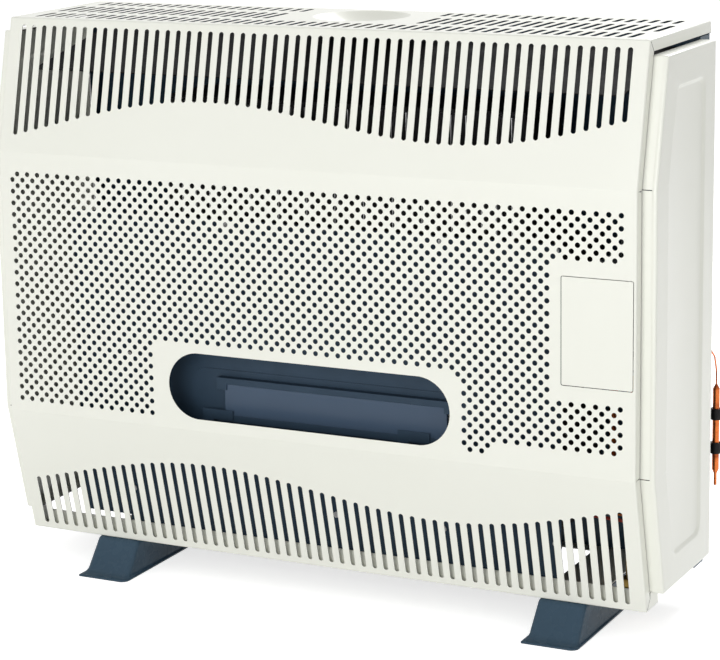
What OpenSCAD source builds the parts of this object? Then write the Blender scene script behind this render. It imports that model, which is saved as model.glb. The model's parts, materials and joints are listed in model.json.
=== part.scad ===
// Room heater with a sealed gas burner behind a folded sheet casing.
// Right is +X, the wall is behind at +Y, and the floor is Z = 0.
// Inside the modules Y = 0 is the flat middle of the casing's front.

/* [Casing] */
// Width of the folded casing
casing_w = 798; // [760:1:840]
// Thickness of the casing, side panel and back panel sheet
sheet_t = 1.2; // [1:0.1:1.6]
// Clear height under the casing
foot_h = 40; // [34:1:60]
// Height of the lower sloping part of the front
lower_h = 159; // [150:1:175]
// How far the bottom edge stands back from the middle of the front
lower_set = 39; // [30:1:44]
// Height of the flat middle of the front
mid_h = 315; // [310:1:330]
// Height of the upper sloping part of the front
upper_h = 155; // [148:1:175]
// How far the top edge stands back from the middle of the front
upper_set = 37; // [28:1:42]
// Depth from the middle of the front to the casing's rear edge
casing_d = 235; // [232:1:260]
// Depth of the edge folded back along both sides
flange_d = 14; // [10:0.5:18]
// Depth of the edge folded back at the bottom
bottom_return = 36; // [28:1:44]
// Height of the edge folded down at the top rear
rear_lip = 14; // [10:0.5:20]
// Free space between the casing and the wall
wall_gap = 30; // [26:1:40]
// Gap between sheets that lie on each other
fit_gap = 0.3; // [0.2:0.05:0.5]

/* [Openings in the casing] */
// Half the distance between holes, along and up
hole_step = 7; // [6.8:0.05:7.1]
// Diameter of the round holes
hole_d = 6; // [4:0.1:6.5]
// Height of the lowest row of holes above the lower fold
hole_margin = 16; // [14:0.5:20]
// Width of the air slots
slot_w = 5.8; // [3.5:0.1:6]
// Gap between the front slots and the casing's top or bottom edge
slot_edge = 8.5; // [7:0.5:12]
// Length of the front row of slots in the top
top_slot_front = 42; // [30:1:44]
// Length of the middle row of slots in the top
top_slot_mid = 58; // [40:1:60]
// Length of the rear row of slots in the top
top_slot_rear = 31; // [20:1:33]
// Length of the window opening
window_w = 358; // [320:1:364]
// Height of the window opening
window_h = 79; // [60:1:82]
// Height of the window's middle above the lower fold
window_up = 53.5; // [50:0.5:56]
// Diameter of the round dish pressed into the top
dish_d = 114; // [90:1:118]
// Depth of the dish
dish_h = 18; // [10:0.5:20]

/* [Control door] */
// Width of the door
door_w = 81; // [70:0.5:84]
// Height of the door
door_h = 119; // [110:0.5:121]
// Height of the door's bottom edge above the lower fold
door_up = 100; // [98:0.5:101]
// Gap all round the door
door_gap = 0.8; // [0.7:0.05:1]
// Distance of the hinge line from the door's right edge
hinge_in = 5; // [4.5:0.1:6]
// Distance of the hinge line behind the door's face
hinge_back = 3.5; // [3.4:0.1:3.7]
// Diameter of the hinge pins
hinge_pin_d = 2.5; // [2:0.1:3]

/* [Side panels] */
// How far a side panel stands out from the casing
side_out = 16.6; // [12:0.2:18]
// Depth from the middle of the front to a side panel's rear edge
side_d = 203; // [195:1:206]
// Gap from a side panel's top to the casing's top face
side_top_gap = 17.5; // [16:0.5:24]
// Gap from a side panel's bottom to the casing's bottom edge
side_bottom_gap = 21; // [16:0.5:26]
// Depth of the pressed field in a side panel
field_depth = 3; // [0.8:0.1:4]

/* [Feet] */
// Width of a foot at its top
foot_w = 57; // [48:1:64]
// Distance of the left foot's middle from the heater's middle
foot_left_x = 277; // [250:1:300]
// Distance of the right foot's middle from the heater's middle
foot_right_x = 300; // [260:1:310]
// Thickness of the feet
foot_t = 2; // [1.5:0.1:2.5]
// Depth from the middle of the front to a foot's rear end
foot_rear = 205; // [180:1:215]

/* [Combustion chamber] */
// Sideways place of the chamber's middle
chamber_x = 17; // [10:1:24]
// Width of the chamber
chamber_w = 534; // [520:1:540]
// Depth of the chamber behind its front plate
chamber_d = 150; // [130:1:155]
// Height of the chamber
chamber_h = 320; // [300:1:325]
// Height of the chamber's floor above the casing's bottom edge
chamber_up = 70; // [66:1:76]
// Height of the heat exchanger
exchanger_h = 150; // [130:1:155]
// Depth of the heat exchanger
exchanger_d = 104; // [90:1:110]
// Depth from the middle of the front to the chamber's front plate
plate_y = 46; // [44:0.5:48]
// Sideways place of the glass's middle
glass_x = 20; // [14:1:24]
// Width of the glass
glass_w = 284; // [260:1:290]
// Height of the glass
glass_h = 49; // [44:1:56]
// Thickness of the glass
glass_t = 4; // [3:0.5:5]
// Number of fins on the heat exchanger
fin_count = 25; // [15:1:30]

/* [Burner and controls] */
// Diameter of the burner tube
burner_d = 32; // [26:1:36]
// Number of flame ports
port_count = 24; // [12:1:30]
// Diameter of the control knob
knob_d = 42; // [36:0.5:44]
// Travel of the igniter button
igniter_travel = 5; // [3:0.5:5]
// Travel of the pilot button
pilot_travel = 5; // [3:0.5:5]
// Outer diameter of the gas inlet's pipe thread
inlet_d = 20.9; // [20:0.1:21.5]

/* [Flue and wall fixing] */
// Outer diameter of the fresh air collar
collar_d = 130; // [120:1:136]
// Outer diameter of the exhaust spigot
exhaust_d = 80; // [70:1:90]
// Width between the wall fixing slots
fixing_w = 360; // [300:1:380]
// Height between the wall fixing slots
fixing_h = 430; // [400:1:440]
// Diameter of the wall fixing screws' clearance
fixing_d = 8; // [6:0.5:9]

/* [Room sensor] */
// Diameter of the sensor bulb
bulb_d = 8; // [7:0.25:9]
// Length of the sensor bulb
bulb_len = 96; // [80:1:105]
// Distance of the bulb's lower end below the lower fold
bulb_drop = 50; // [45:1:60]

/* [Hidden] */

$fn = 48;
through = 1;

// Heights and depths that the pieces share
z_bottom = foot_h;
z_fold_low = z_bottom + lower_h;
z_fold_high = z_fold_low + mid_h;
z_top = z_fold_high + upper_h;
lean_low = atan(lower_set / lower_h);
lean_high = atan(upper_set / upper_h);
half_w = casing_w / 2;
inner_half_w = half_w - sheet_t - fit_gap;
side_x = half_w + side_out;
back_y = casing_d - sheet_t - fit_gap;
back_in_y = back_y - sheet_t;
wall_y = casing_d + wall_gap;
lip_reach = 3;
front_y = -(wall_y - lip_reach) / 2;
tray_z = z_bottom + sheet_t + fit_gap;
tray_top = tray_z + sheet_t;

// ---- Shapes shared by several pieces ----

module place() {
    translate([0, front_y, 0]) children();
}

function unit(v) = v / norm(v);
function inward(a, b) = let (u = unit(b - a)) [u[1], -u[0]];
// Corner point i of a path moved inwards by distance o
function inset_point(p, i, o) =
    i == 0 ? p[0] + o * inward(p[0], p[1])
    : i == len(p) - 1 ? p[i] + o * inward(p[i - 1], p[i])
    : let (m = inward(p[i - 1], p[i]), n = inward(p[i], p[i + 1])) p[i] + o * (m + n) / (1 + m * n);
function inset_path(p, o) = [for (i = [0 : len(p) - 1]) inset_point(p, i, o)];
function reversed(p) = [for (i = [len(p) - 1 : -1 : 0]) p[i]];
// A strip of even thickness along a path
function strip_outline(p, t) = concat(p, reversed(inset_path(p, t)));

// Corner of a closed outline replaced by an arc of radius r, in n steps
function corner_arc(a, b, c, r, n) =
    let (
        u = unit(a - b), v = unit(c - b),
        half = acos(u * v) / 2,
        centre = b + unit(u + v) * r / sin(half),
        from = b + u * r / tan(half) - centre,
        to = b + v * r / tan(half) - centre,
        a0 = atan2(from[1], from[0]),
        turn = atan2(from[0] * to[1] - from[1] * to[0], from * to)
    ) [for (k = [0 : n]) centre + r * [cos(a0 + turn * k / n), sin(a0 + turn * k / n)]];
function rounded(p, r, n = 6) = [
    for (i = [0 : len(p) - 1])
        each corner_arc(p[(i + len(p) - 1) % len(p)], p[i], p[(i + 1) % len(p)], r, n)
];

// Extrudes a depth and height outline sideways from x0 over length w
module along_x(x0, w) {
    translate([x0, 0, 0]) rotate([90, 0, 90]) linear_extrude(w) children();
}
// Extrudes a width and height outline backwards from depth y0 over length d
module along_y(y0, d) {
    translate([0, y0 + d, 0]) rotate([90, 0, 0]) linear_extrude(d) children();
}
module block(a, b) {
    translate(a) cube(b - a);
}
module rod_y(x, y0, z, d, len, sides = 48) {
    translate([x, y0, z]) rotate([-90, 0, 0]) cylinder(d = d, h = len, $fn = sides);
}
module rod_x(x0, y, z, d, len) {
    translate([x0, y, z]) rotate([0, 90, 0]) cylinder(d = d, h = len);
}
module slot_shape(width, height) {
    straight = width > height ? width - height : 0;
    square([max(straight, 0.01), height], center = true);
    for (s = [-1, 1]) translate([s * straight / 2, 0]) circle(d = height);
}
// Upright slot outline at x, from height a to height b
module upright_slot(x, a, b) {
    r = slot_w / 2;
    translate([x - r, a + r]) square([slot_w, b - a - slot_w]);
    translate([x, a + r]) circle(d = slot_w, $fn = 24);
    translate([x, b - r]) circle(d = slot_w, $fn = 24);
}
// Arc of radius r that rounds corner b of the line a, b, c, in four steps
function bend(a, b, c, r) =
    let (
        u = unit(a - b), v = unit(c - b),
        half = acos(max(-1, min(1, u * v))) / 2,
        t = min(r / tan(half), 0.45 * norm(a - b), 0.45 * norm(c - b)),
        centre = b + unit(u + v) * t / cos(half),
        from = b + u * t - centre, to = b + v * t - centre,
        turn = 180 - 2 * half
    ) half > 89 ? [b] : [
        for (k = [0 : 4])
            centre + (from * sin(turn * (1 - k / 4)) + to * sin(turn * k / 4)) / sin(turn)
    ];
function bent_line(p, r) = [
    p[0], for (i = [1 : len(p) - 2]) each bend(p[i - 1], p[i], p[i + 1], r), p[len(p) - 1]
];
function tangents(p) = [
    for (i = [0 : len(p) - 1])
        unit((i > 0 ? unit(p[i] - p[i - 1]) : [0, 0, 0])
            + (i < len(p) - 1 ? unit(p[i + 1] - p[i]) : [0, 0, 0]))
];
// Normals that follow the tangents t without twisting
function normals(t, n, i = 0) =
    i == len(t) ? [] : let (m = unit(n - (n * t[i]) * t[i])) concat([m], normals(t, m, i + 1));
// A bent tube of diameter d through a list of points, as one closed polyhedron
module bent_tube(points, d, sides = 8, r = 0) {
    line = bent_line(points, r > 0 ? r : 2.5 * d);
    t = tangents(line);
    start = abs(t[0][0]) < 0.9 ? [1, 0, 0] : [0, 1, 0];
    n = normals(t, start);
    rings = len(line);
    polyhedron(
        points = [
            for (i = [0 : rings - 1], k = [0 : sides - 1])
                line[i] + d / 2 * (n[i] * cos(360 * k / sides) + cross(t[i], n[i]) * sin(360 * k / sides))
        ],
        faces = concat(
            [for (k = [1 : sides - 2]) [0, k, k + 1]],
            [for (k = [1 : sides - 2], e = (rings - 1) * sides) [e, e + k + 1, e + k]],
            [for (i = [0 : rings - 2], k = [0 : sides - 1])
                let (a = i * sides + k, b = i * sides + (k + 1) % sides) [a, a + sides, b]],
            [for (i = [0 : rings - 2], k = [0 : sides - 1])
                let (a = i * sides + k, b = i * sides + (k + 1) % sides) [b, a + sides, b + sides]]
        )
    );
}
// Pan head screw along -Z with its head's underside at the origin
module screw(d, len, head_d = 8, head_h = 2.4) {
    difference() {
        cylinder(d = head_d, h = head_h);
        translate([0, 0, head_h - 1]) cylinder(d = head_d * 0.45, h = 2, $fn = 6);
    }
    translate([0, 0, -len]) cylinder(d = d, h = len);
}

// ---- Casing ----

casing_path = [
    [lower_set + bottom_return, z_bottom], [lower_set, z_bottom], [0, z_fold_low], [0, z_fold_high],
    [upper_set, z_top], [casing_d, z_top], [casing_d, z_top - rear_lip]
];
flange_path = [for (i = [0 : 5]) casing_path[i]];

// Slots and holes keep to one grid of columns
front_slots = 55;
hole_rows = 40;
hole_first = -54;
hole_last = 55;
slot_step = 2 * hole_step;
function slot_x(k, n) = (k - (n - 1) / 2) * slot_step;
// Ends of the front slots follow two waves
wave_high = 25;
wave_low = 23.5;
function high_wave(x) = 52 + 0.055 * x - wave_high * sin(360 * (x - 27) / 710);
function low_wave(x) = 62.5 - 0.041 * x - wave_low * sin(360 * (x + 318) / 660);

// Rows in the top: start depth behind the front edge of the top
top_row_front = 12.5;
top_row_gap = 18.5;
dish_y = upper_set + top_row_front + top_slot_front + top_row_gap + dish_d / 2;
dish_r = (dish_d * dish_d / 4 + dish_h * dish_h) / (2 * dish_h);
blank_slots = 13;

// The round holes leave room for the door, the window and a bare strip
door_rows = 10;
door_first = 44;
window_rows = 12;
window_cols = 28;
bare_rows = 1;
bare_first = 34;
full_rows = 32;
function hole_here(i, n) =
    (i - n) % 2 == 0
    && !(n >= door_rows && n < full_rows && i >= door_first)
    && !(n <= window_rows && abs(i) < window_cols)
    && !(n <= door_rows && i == window_cols)
    && !(n <= bare_rows && i >= bare_first);

window_x = hole_step / 2;
window_z = z_fold_low + window_up;
door_right = half_w - 3.8;
door_left = door_right - door_w;
door_z = z_fold_low + door_up;
hinge_x = door_right - hinge_in;
door_return = 8;
door_corner = 1.6;
ear_t = 1.5;
ear_gap = 0.5;
function door_rect(g) = [
    [door_left - g, door_z - g], [door_left - g, door_z + door_h + g],
    [door_right + g, door_z + door_h + g], [door_right + g, door_z - g]
];

module round_holes() {
    for (n = [0 : hole_rows - 1], i = [hole_first : hole_last])
        if (hole_here(i, n))
            rod_y((i - 0.5) * hole_step, -through, z_fold_low + hole_margin + n * hole_step,
                hole_d, sheet_t + 2 * through, 24);
}
module upper_slots() {
    top = (upper_h - slot_edge) / cos(lean_high);
    translate([0, 0, z_fold_high]) rotate([-lean_high, 0, 0])
        along_y(-through, sheet_t + 2 * through)
            for (k = [0 : front_slots - 1])
                upright_slot(slot_x(k, front_slots), high_wave(slot_x(k, front_slots)), top);
}
module lower_slots() {
    bottom = -(lower_h - slot_edge) / cos(lean_low);
    translate([0, 0, z_fold_low]) rotate([lean_low, 0, 0])
        along_y(-through, sheet_t + 2 * through)
            for (k = [0 : front_slots - 1])
                upright_slot(slot_x(k, front_slots), bottom, -low_wave(slot_x(k, front_slots)));
}
// One row of slots in the top, n columns with the middle ones left out
module top_row(y0, len, n, blank) {
    for (k = [0 : n - 1])
        if (abs(k - (n - 1) / 2) > blank / 2)
            upright_slot(slot_x(k, n), y0, y0 + len);
}
module top_slots() {
    y1 = upper_set + top_row_front;
    y2 = y1 + top_slot_front + top_row_gap;
    y3 = casing_d - top_slot_rear - 15;
    translate([0, 0, z_top - sheet_t - through]) linear_extrude(sheet_t + 2 * through) {
        top_row(y1, top_slot_front, front_slots - 1, 0);
        top_row(y2, top_slot_mid, front_slots, blank_slots);
        top_row(y3, top_slot_rear, front_slots - 1, blank_slots - 1);
    }
}
module casing_ears() {
    for (z = [door_z - door_gap - ear_gap - ear_t, door_z + door_h + door_gap + ear_gap])
        block([hinge_x - 4, sheet_t, z], [hinge_x + 5, hinge_back + 4, z + ear_t]);
}
module dish_back() {
    intersection() {
        translate([0, dish_y, z_top - dish_h + dish_r]) sphere(r = dish_r + sheet_t);
        translate([0, dish_y, z_top - dish_h - 2 * sheet_t])
            cylinder(d = dish_d + 8, h = dish_h + 1.5 * sheet_t);
    }
}
module front_casing() {
    color("ivory") difference() {
        union() {
            along_x(-half_w, casing_w) polygon(strip_outline(casing_path, sheet_t));
            for (x = [-half_w, half_w - sheet_t])
                along_x(x, sheet_t) polygon(strip_outline(flange_path, flange_d));
            dish_back();
            casing_ears();
        }
        translate([0, dish_y, z_top - dish_h + dish_r]) sphere(r = dish_r);
        translate([hinge_x, hinge_back, door_z - 10]) cylinder(d = hinge_pin_d + 0.1, h = door_h + 20);
        casing_screw_places() cylinder(d = screw_d + 0.1, h = 3 * sheet_t, center = true);
        round_holes();
        upper_slots();
        lower_slots();
        top_slots();
        along_y(-through, sheet_t + 2 * through)
            translate([window_x, window_z]) slot_shape(window_w, window_h);
        along_y(-through, sheet_t + through + 0.01)
            polygon(rounded(door_rect(door_gap), door_corner + 0.6));
    }
}

module control_door() {
    color("ivory") difference() {
        union() {
            along_y(0, sheet_t) polygon(rounded(door_rect(0), door_corner));
            for (z = [door_z, door_z + door_h - sheet_t])
                block([door_left, sheet_t, z], [door_right - 0.6, door_return, z + sheet_t]);
            block([door_left, sheet_t, door_z + sheet_t],
                [door_left + sheet_t, door_return, door_z + door_h - sheet_t]);
        }
        translate([hinge_x, hinge_back, door_z - through])
            cylinder(d = hinge_pin_d + 0.1, h = door_h + 2 * through);
    }
}
module door_hinge_pins() {
    reach = door_gap + ear_gap + ear_t;
    color("silver")
        for (z = [door_z - reach, door_z + door_h - 4])
            translate([hinge_x, hinge_back, z]) cylinder(d = hinge_pin_d, h = reach + 4);
}

module door_catch() {
    x = door_left - door_gap - 7;
    color("dimgray") difference() {
        block([x, sheet_t + fit_gap, door_z + 40], [door_left + sheet_t + 6, door_return + 8, door_z + 56]);
        block([door_left - 1, -through, door_z + 39], [door_left + 20, door_return + fit_gap, door_z + 57]);
    }
}

// ---- Side panels ----

side_top = z_top - side_top_gap;
side_low = z_bottom + side_bottom_gap;
side_in = inner_half_w + fit_gap;
function front_line(z, back) =
    back + max(0, (z - z_fold_high) * upper_set / upper_h, (z_fold_low - z) * lower_set / lower_h);
side_front = flange_d / cos(max(lean_low, lean_high)) + fit_gap;
side_outline = [
    [side_d, side_low], [front_line(side_low, side_front), side_low], [side_front, z_fold_low],
    [side_front, z_fold_high], [front_line(side_top, side_front), side_top], [side_d, side_top]
];
field_side = 36;
field_end = 34;
field_outline = [
    [side_d - field_side + 2, side_low + field_end],
    [front_line(side_low + field_end, side_front) + field_side, side_low + field_end],
    [side_front + field_side, z_fold_low], [side_front + field_side, z_fold_high],
    [front_line(side_top - field_end, side_front) + field_side, side_top - field_end],
    [side_d - field_side + 2, side_top - field_end]
];
field_slope = 6;
capillary_z = z_fold_low + 101;

// Right hand panel, with its outer face at side_x
module side_shell() {
    difference() {
        along_x(side_in, side_x - side_in) polygon(side_outline);
        difference() {
            along_x(side_in - through, side_x - side_in + through - sheet_t)
                polygon(inset_closed(side_outline, sheet_t));
            hull() {
                along_x(side_x - sheet_t, 0.1) polygon(rounded(field_outline, 14));
                along_x(side_x - sheet_t - field_depth, 0.1)
                    polygon(rounded(inset_closed(field_outline, field_slope), 12));
            }
        }
        hull() {
            along_x(side_x, 0.1) polygon(rounded(field_outline, 14));
            along_x(side_x - field_depth, 0.1)
                polygon(rounded(inset_closed(field_outline, field_slope), 12));
        }
    }
}
function inset_closed(p, o) = [
    for (i = [0 : len(p) - 1])
        let (
            m = inward(p[(i + len(p) - 1) % len(p)], p[i]),
            n = inward(p[i], p[(i + 1) % len(p)])
        ) p[i] + o * (m + n) / (1 + m * n)
];
module side_panel_right() {
    color("whitesmoke") difference() {
        side_shell();
        block([side_in - through, side_d - sheet_t - through, capillary_z - 12],
            [side_in + 12, side_d + through, capillary_z + 12]);
    }
}
module side_panel_left() {
    color("whitesmoke") mirror([1, 0, 0]) side_shell();
}

// ---- Back panel, base and feet ----

flue_z = z_fold_high - 8;
back_flange = back_in_y - side_d;
fixing_z = z_bottom + lower_h / 2;
exhaust_hole = collar_d / 2 - 6;
module back_panel() {
    flange_top = z_top - flange_d - 1;
    color("gainsboro") difference() {
        union() {
            block([-inner_half_w, back_in_y, tray_z], [inner_half_w, back_y, z_top - sheet_t - fit_gap]);
            for (x = [-inner_half_w, inner_half_w - sheet_t])
                block([x, side_d, tray_z], [x + sheet_t, back_in_y + 0.1, flange_top]);
        }
        rod_y(chamber_x, back_in_y - through, flue_z, 2 * exhaust_hole, sheet_t + 2 * through);
        casing_screw_places() cylinder(d = screw_d + 0.3, h = 40, center = true);
    }
}

tray_half = half_w - 18;
tray_front = lower_set + 5;
strip_h = 22;
rail_half = foot_w / 2 + 2.5;
rear_rail = 17;
// Open frame: a strip behind the lower slots, a rail over each foot and one at the back
module base_frame() {
    back = back_in_y - fit_gap;
    color("silver") difference() {
        union() {
            block([-tray_half, tray_front, tray_z], [tray_half, tray_front + 28, tray_top]);
            block([-tray_half, tray_front, tray_z], [tray_half, tray_front + sheet_t, tray_z + strip_h]);
            block([-tray_half, back - rear_rail, tray_z], [tray_half, back, tray_top]);
            for (x = [-foot_left_x, foot_right_x])
                block([x - rail_half, tray_front, tray_z], [x + rail_half, back, tray_top]);
            foot_screw_places() translate([0, 0, foot_top_z]) cylinder(d = 16, h = tray_z - foot_top_z + 0.1);
        }
        foot_screw_places() translate([0, 0, foot_top_z - through]) cylinder(d = foot_screw_d + 0.1, h = 9);
    }
}

foot_top_z = z_bottom - fit_gap;
foot_screw_d = 5;
foot_front_top = lower_set - 2;
foot_front_low = 6;
foot_flare = 1.5;
foot_flange = 3;
foot_screw_y = [100, 180];
module foot_screw_places() {
    for (x = [-foot_left_x, foot_right_x], y = foot_screw_y) translate([x, y, 0]) children();
}
function foot_rect(w, y0, y1) = [[-w / 2, y0], [w / 2, y0], [w / 2, y1], [-w / 2, y1]];
module foot_solid(inset) {
    hull() {
        translate([0, 0, foot_top_z - inset - 0.1]) linear_extrude(0.1)
            polygon(rounded(foot_rect(foot_w - 2 * inset, foot_front_top + inset, foot_rear - 12 - inset), 4));
        translate([0, 0, inset > 0 ? -through : 0]) linear_extrude(0.1)
            polygon(rounded(foot_rect(foot_w + 2 * foot_flare - 2 * inset, foot_front_low + inset,
                foot_rear - inset), 6));
    }
}
module foot_flange_ring() {
    linear_extrude(foot_t) difference() {
        polygon(rounded(foot_rect(foot_w + 2 * foot_flare + 2 * foot_flange, -lip_reach, foot_rear), 9));
        polygon(rounded(foot_rect(foot_w + 2 * foot_flare - 2 * foot_t, foot_front_low + foot_t,
            foot_rear - foot_t), 5));
    }
}
module foot() {
    color("darkslategray") difference() {
        union() {
            difference() {
                foot_solid(0);
                foot_solid(foot_t);
            }
            foot_flange_ring();
        }
        for (y = foot_screw_y)
            translate([0, y, foot_top_z - foot_t - through]) cylinder(d = foot_screw_d + 0.1, h = 6);
    }
}
module foot_left() {
    translate([-foot_left_x, 0, 0]) foot();
}
module foot_right() {
    translate([foot_right_x, 0, 0]) foot();
}
module foot_screws() {
    color("silver") foot_screw_places()
        translate([0, 0, foot_top_z - foot_t]) rotate([180, 0, 0]) screw(foot_screw_d, 7);
}

// Screws through the casing's top rear lip and its bottom edge
screw_d = 4;
lip_screws_x = half_w - 60;
module casing_screw_places() {
    for (x = [-lip_screws_x, lip_screws_x])
        translate([x, casing_d, z_top - rear_lip / 2 - 1]) rotate([-90, 0, 0]) children();
}
module casing_screws() {
    color("silver") casing_screw_places() screw(screw_d, 6);
}

// ---- Combustion chamber and window ----

chamber_z = z_bottom + chamber_up;
chamber_top = chamber_z + chamber_h;
plate_back = plate_y + sheet_t;
rim_y = plate_back + fit_gap;
box_y = rim_y + sheet_t;
chamber_back = box_y + chamber_d;
chamber_left = chamber_x - chamber_w / 2;
chamber_right = chamber_x + chamber_w / 2;
rim_w = 12;
throat_w = 300;
throat_d = 60;
throat_y = box_y + chamber_d / 2;
module chamber_shell() {
    color("dimgray") difference() {
        union() {
            block([chamber_left, rim_y, chamber_z], [chamber_right, chamber_back, chamber_top]);
            block([chamber_left - rim_w, rim_y, chamber_z - rim_w],
                [chamber_right + rim_w, box_y, chamber_top + rim_w]);
        }
        block([chamber_left + sheet_t, rim_y - through, chamber_z + sheet_t],
            [chamber_right - sheet_t, chamber_back - sheet_t, chamber_top - sheet_t]);
        block([chamber_x - throat_w / 2, throat_y - throat_d / 2, chamber_top - 4],
            [chamber_x + throat_w / 2, throat_y + throat_d / 2, chamber_top + 4]);
        chamber_screw_places() cylinder(d = screw_d + 0.3, h = 40, center = true);
        rod_x(chamber_right - 4, gland_y, chamber_z + 22, gland_d, 8);
        rod_x(chamber_right - 4, burner_y, burner_z, feed_d + 0.6, 8);
    }
}
// Two upright channels that carry the chamber on the back panel
support_w = 40;
support_h = 240;
module chamber_supports() {
    z = chamber_z + 40;
    color("silver")
        for (x = [chamber_left + 60, chamber_right - 60 - support_w])
            difference() {
                block([x, chamber_back, z], [x + support_w, back_in_y, z + support_h]);
                block([x + sheet_t, chamber_back + sheet_t, z - through],
                    [x + support_w + through, back_in_y - sheet_t, z + support_h + through]);
            }
}

window_open_w = glass_w - 16;
window_open_h = glass_h - 16;
glass_z = window_z - 22.5;
pad_t = 1;
pad_half = glass_w / 2 + 50;
pad_low = window_z - 87;
pad_top = window_z + 11;
plate_wing = 67;
module chamber_front_plate() {
    color("darkslategray") difference() {
        union() {
            block([chamber_left - rim_w, plate_y, tray_z + strip_h - 6],
                [chamber_right + rim_w, plate_back, chamber_top + rim_w]);
            block([chamber_left - rim_w - plate_wing, plate_y, chamber_z - 40],
                [chamber_left, plate_back, chamber_top + rim_w]);
            along_y(plate_y - pad_t, pad_t + 0.1)
                polygon(rounded([[glass_x - pad_half, pad_low], [glass_x - pad_half, pad_top],
                    [glass_x + pad_half, pad_top], [glass_x + pad_half, pad_low]], 22));
        }
        block([glass_x - window_open_w / 2, plate_y - 2, glass_z - window_open_h / 2],
            [glass_x + window_open_w / 2, plate_back + through, glass_z + window_open_h / 2]);
        chamber_screw_places() cylinder(d = screw_d + 0.3, h = 40, center = true);
        clip_screw_places() cylinder(d = 3.2, h = 40, center = true);
    }
}
chamber_screw_cols = 5;
chamber_screw_rows = 3;
module chamber_screw_places() {
    w = chamber_w + rim_w;
    h = chamber_h + rim_w;
    x0 = chamber_x - w / 2;
    z0 = chamber_z - rim_w / 2;
    for (k = [0 : chamber_screw_cols - 1], z = [z0, z0 + h])
        translate([x0 + w * k / (chamber_screw_cols - 1), plate_y, z]) rotate([90, 0, 0]) children();
    for (k = [1 : chamber_screw_rows], x = [x0, x0 + w])
        translate([x, plate_y, z0 + h * k / (chamber_screw_rows + 1)]) rotate([90, 0, 0]) children();
}
module chamber_screws() {
    color("silver") chamber_screw_places() screw(screw_d, 5, 7, 2);
}

seal_t = 4;
seal_w = 8;
glass_back = plate_y - pad_t - seal_t;
glass_front = glass_back - glass_t;
module glass_seal() {
    color("gainsboro") difference() {
        block([glass_x - glass_w / 2, glass_back, glass_z - glass_h / 2],
            [glass_x + glass_w / 2, plate_y - pad_t, glass_z + glass_h / 2]);
        block([glass_x - glass_w / 2 + seal_w, glass_back - through, glass_z - glass_h / 2 + seal_w],
            [glass_x + glass_w / 2 - seal_w, plate_y, glass_z + glass_h / 2 - seal_w]);
    }
}
module window_glass() {
    color("slategray", 0.6)
        block([glass_x - glass_w / 2, glass_front, glass_z - glass_h / 2],
            [glass_x + glass_w / 2, glass_back, glass_z + glass_h / 2]);
}
bar_over = 10;
bar_h = 6;
bar_tab = 13;
// Angle strip that holds one long edge of the glass, drawn for the top edge
module glass_bar() {
    block([glass_x - glass_w / 2 - bar_over, glass_front - fit_gap - sheet_t, glass_z + glass_h / 2 - bar_h],
        [glass_x + glass_w / 2 + bar_over, glass_front - fit_gap, glass_z + glass_h / 2 + fit_gap + sheet_t]);
    block([glass_x - glass_w / 2 - bar_over, glass_front - fit_gap - 0.1, glass_z + glass_h / 2 + fit_gap],
        [glass_x + glass_w / 2 + bar_over, plate_y - pad_t, glass_z + glass_h / 2 + fit_gap + sheet_t]);
}
module glass_bar_top() {
    left = glass_x - glass_w / 2 - bar_over;
    color("slategray") {
        glass_bar();
        for (x = [left, left + glass_w + 2 * bar_over - bar_tab])
            block([x, glass_front - fit_gap - sheet_t, glass_z + glass_h / 2 - bar_tab],
                [x + bar_tab, glass_front - fit_gap, glass_z + glass_h / 2]);
    }
}
module glass_bar_bottom() {
    color("slategray") translate([0, 0, 2 * glass_z]) mirror([0, 0, 1]) glass_bar();
}
clip_w = 29;
clip_h = 12;
clip_left = glass_x - glass_w / 2 - 29;
clip_right = glass_x + 82;
clip_front = glass_front - 2 * sheet_t - 2 * fit_gap;
clip_z = glass_z - glass_h / 2;
module clip_screw_places() {
    for (x = [clip_left + 8, clip_right + clip_w + 5])
        translate([x, plate_y - pad_t, clip_z + clip_h / 2 - 14]) rotate([90, 0, 0]) children();
}
module glass_clips() {
    color("slategray")
        for (x = [clip_left, clip_right]) {
            block([x, clip_front, clip_z], [x + clip_w + 11, clip_front + sheet_t, clip_z + clip_h]);
            block([x, clip_front, clip_z - 14], [x + 14, clip_front + sheet_t, clip_z + 0.1]);
        }
}

exchanger_y = throat_y - exchanger_d / 2;
exchanger_left = chamber_left + 40;
exchanger_right = chamber_right - 40;
exchanger_top = chamber_top + exchanger_h;
exchanger_front = exchanger_y;
exchanger_back = exchanger_y + exchanger_d;
module heat_exchanger() {
    color("dimgray") difference() {
        block([exchanger_left, exchanger_front, chamber_top], [exchanger_right, exchanger_back, exchanger_top]);
        block([exchanger_left + sheet_t, exchanger_front + sheet_t, chamber_top - through],
            [exchanger_right - sheet_t, exchanger_back - sheet_t, exchanger_top - sheet_t]);
        rod_y(chamber_x, exchanger_back - 3, flue_z, exhaust_d + 2 * fit_gap, 6);
    }
    color("dimgray")
        for (x = [exchanger_left, exchanger_right - 12])
            block([x, exchanger_front + 0.5, chamber_top], [x + 12, exchanger_back - 0.5, chamber_top + sheet_t]);
}
fin_d = 16;
module exchanger_fins() {
    step = (exchanger_right - exchanger_left - 20) / (fin_count - 1);
    color("gray")
        for (k = [0 : fin_count - 1])
            block([exchanger_left + 9.5 + k * step, exchanger_front - fin_d, chamber_top + rim_w + 2],
                [exchanger_left + 10.5 + k * step, exchanger_front, exchanger_top - 4]);
}
deflector_half = half_w - 30;
module heat_deflector() {
    color("silver") along_x(-deflector_half, 2 * deflector_half)
        polygon(strip_outline([
            [front_line(z_top - 60, 14), z_top - 60], [casing_d - 50, z_top - dish_h - 12],
            [back_in_y - fit_gap - 4, z_top - dish_h - 12], [back_in_y - fit_gap, z_top - dish_h - 30]
        ], sheet_t));
}

// ---- Burner ----

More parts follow.
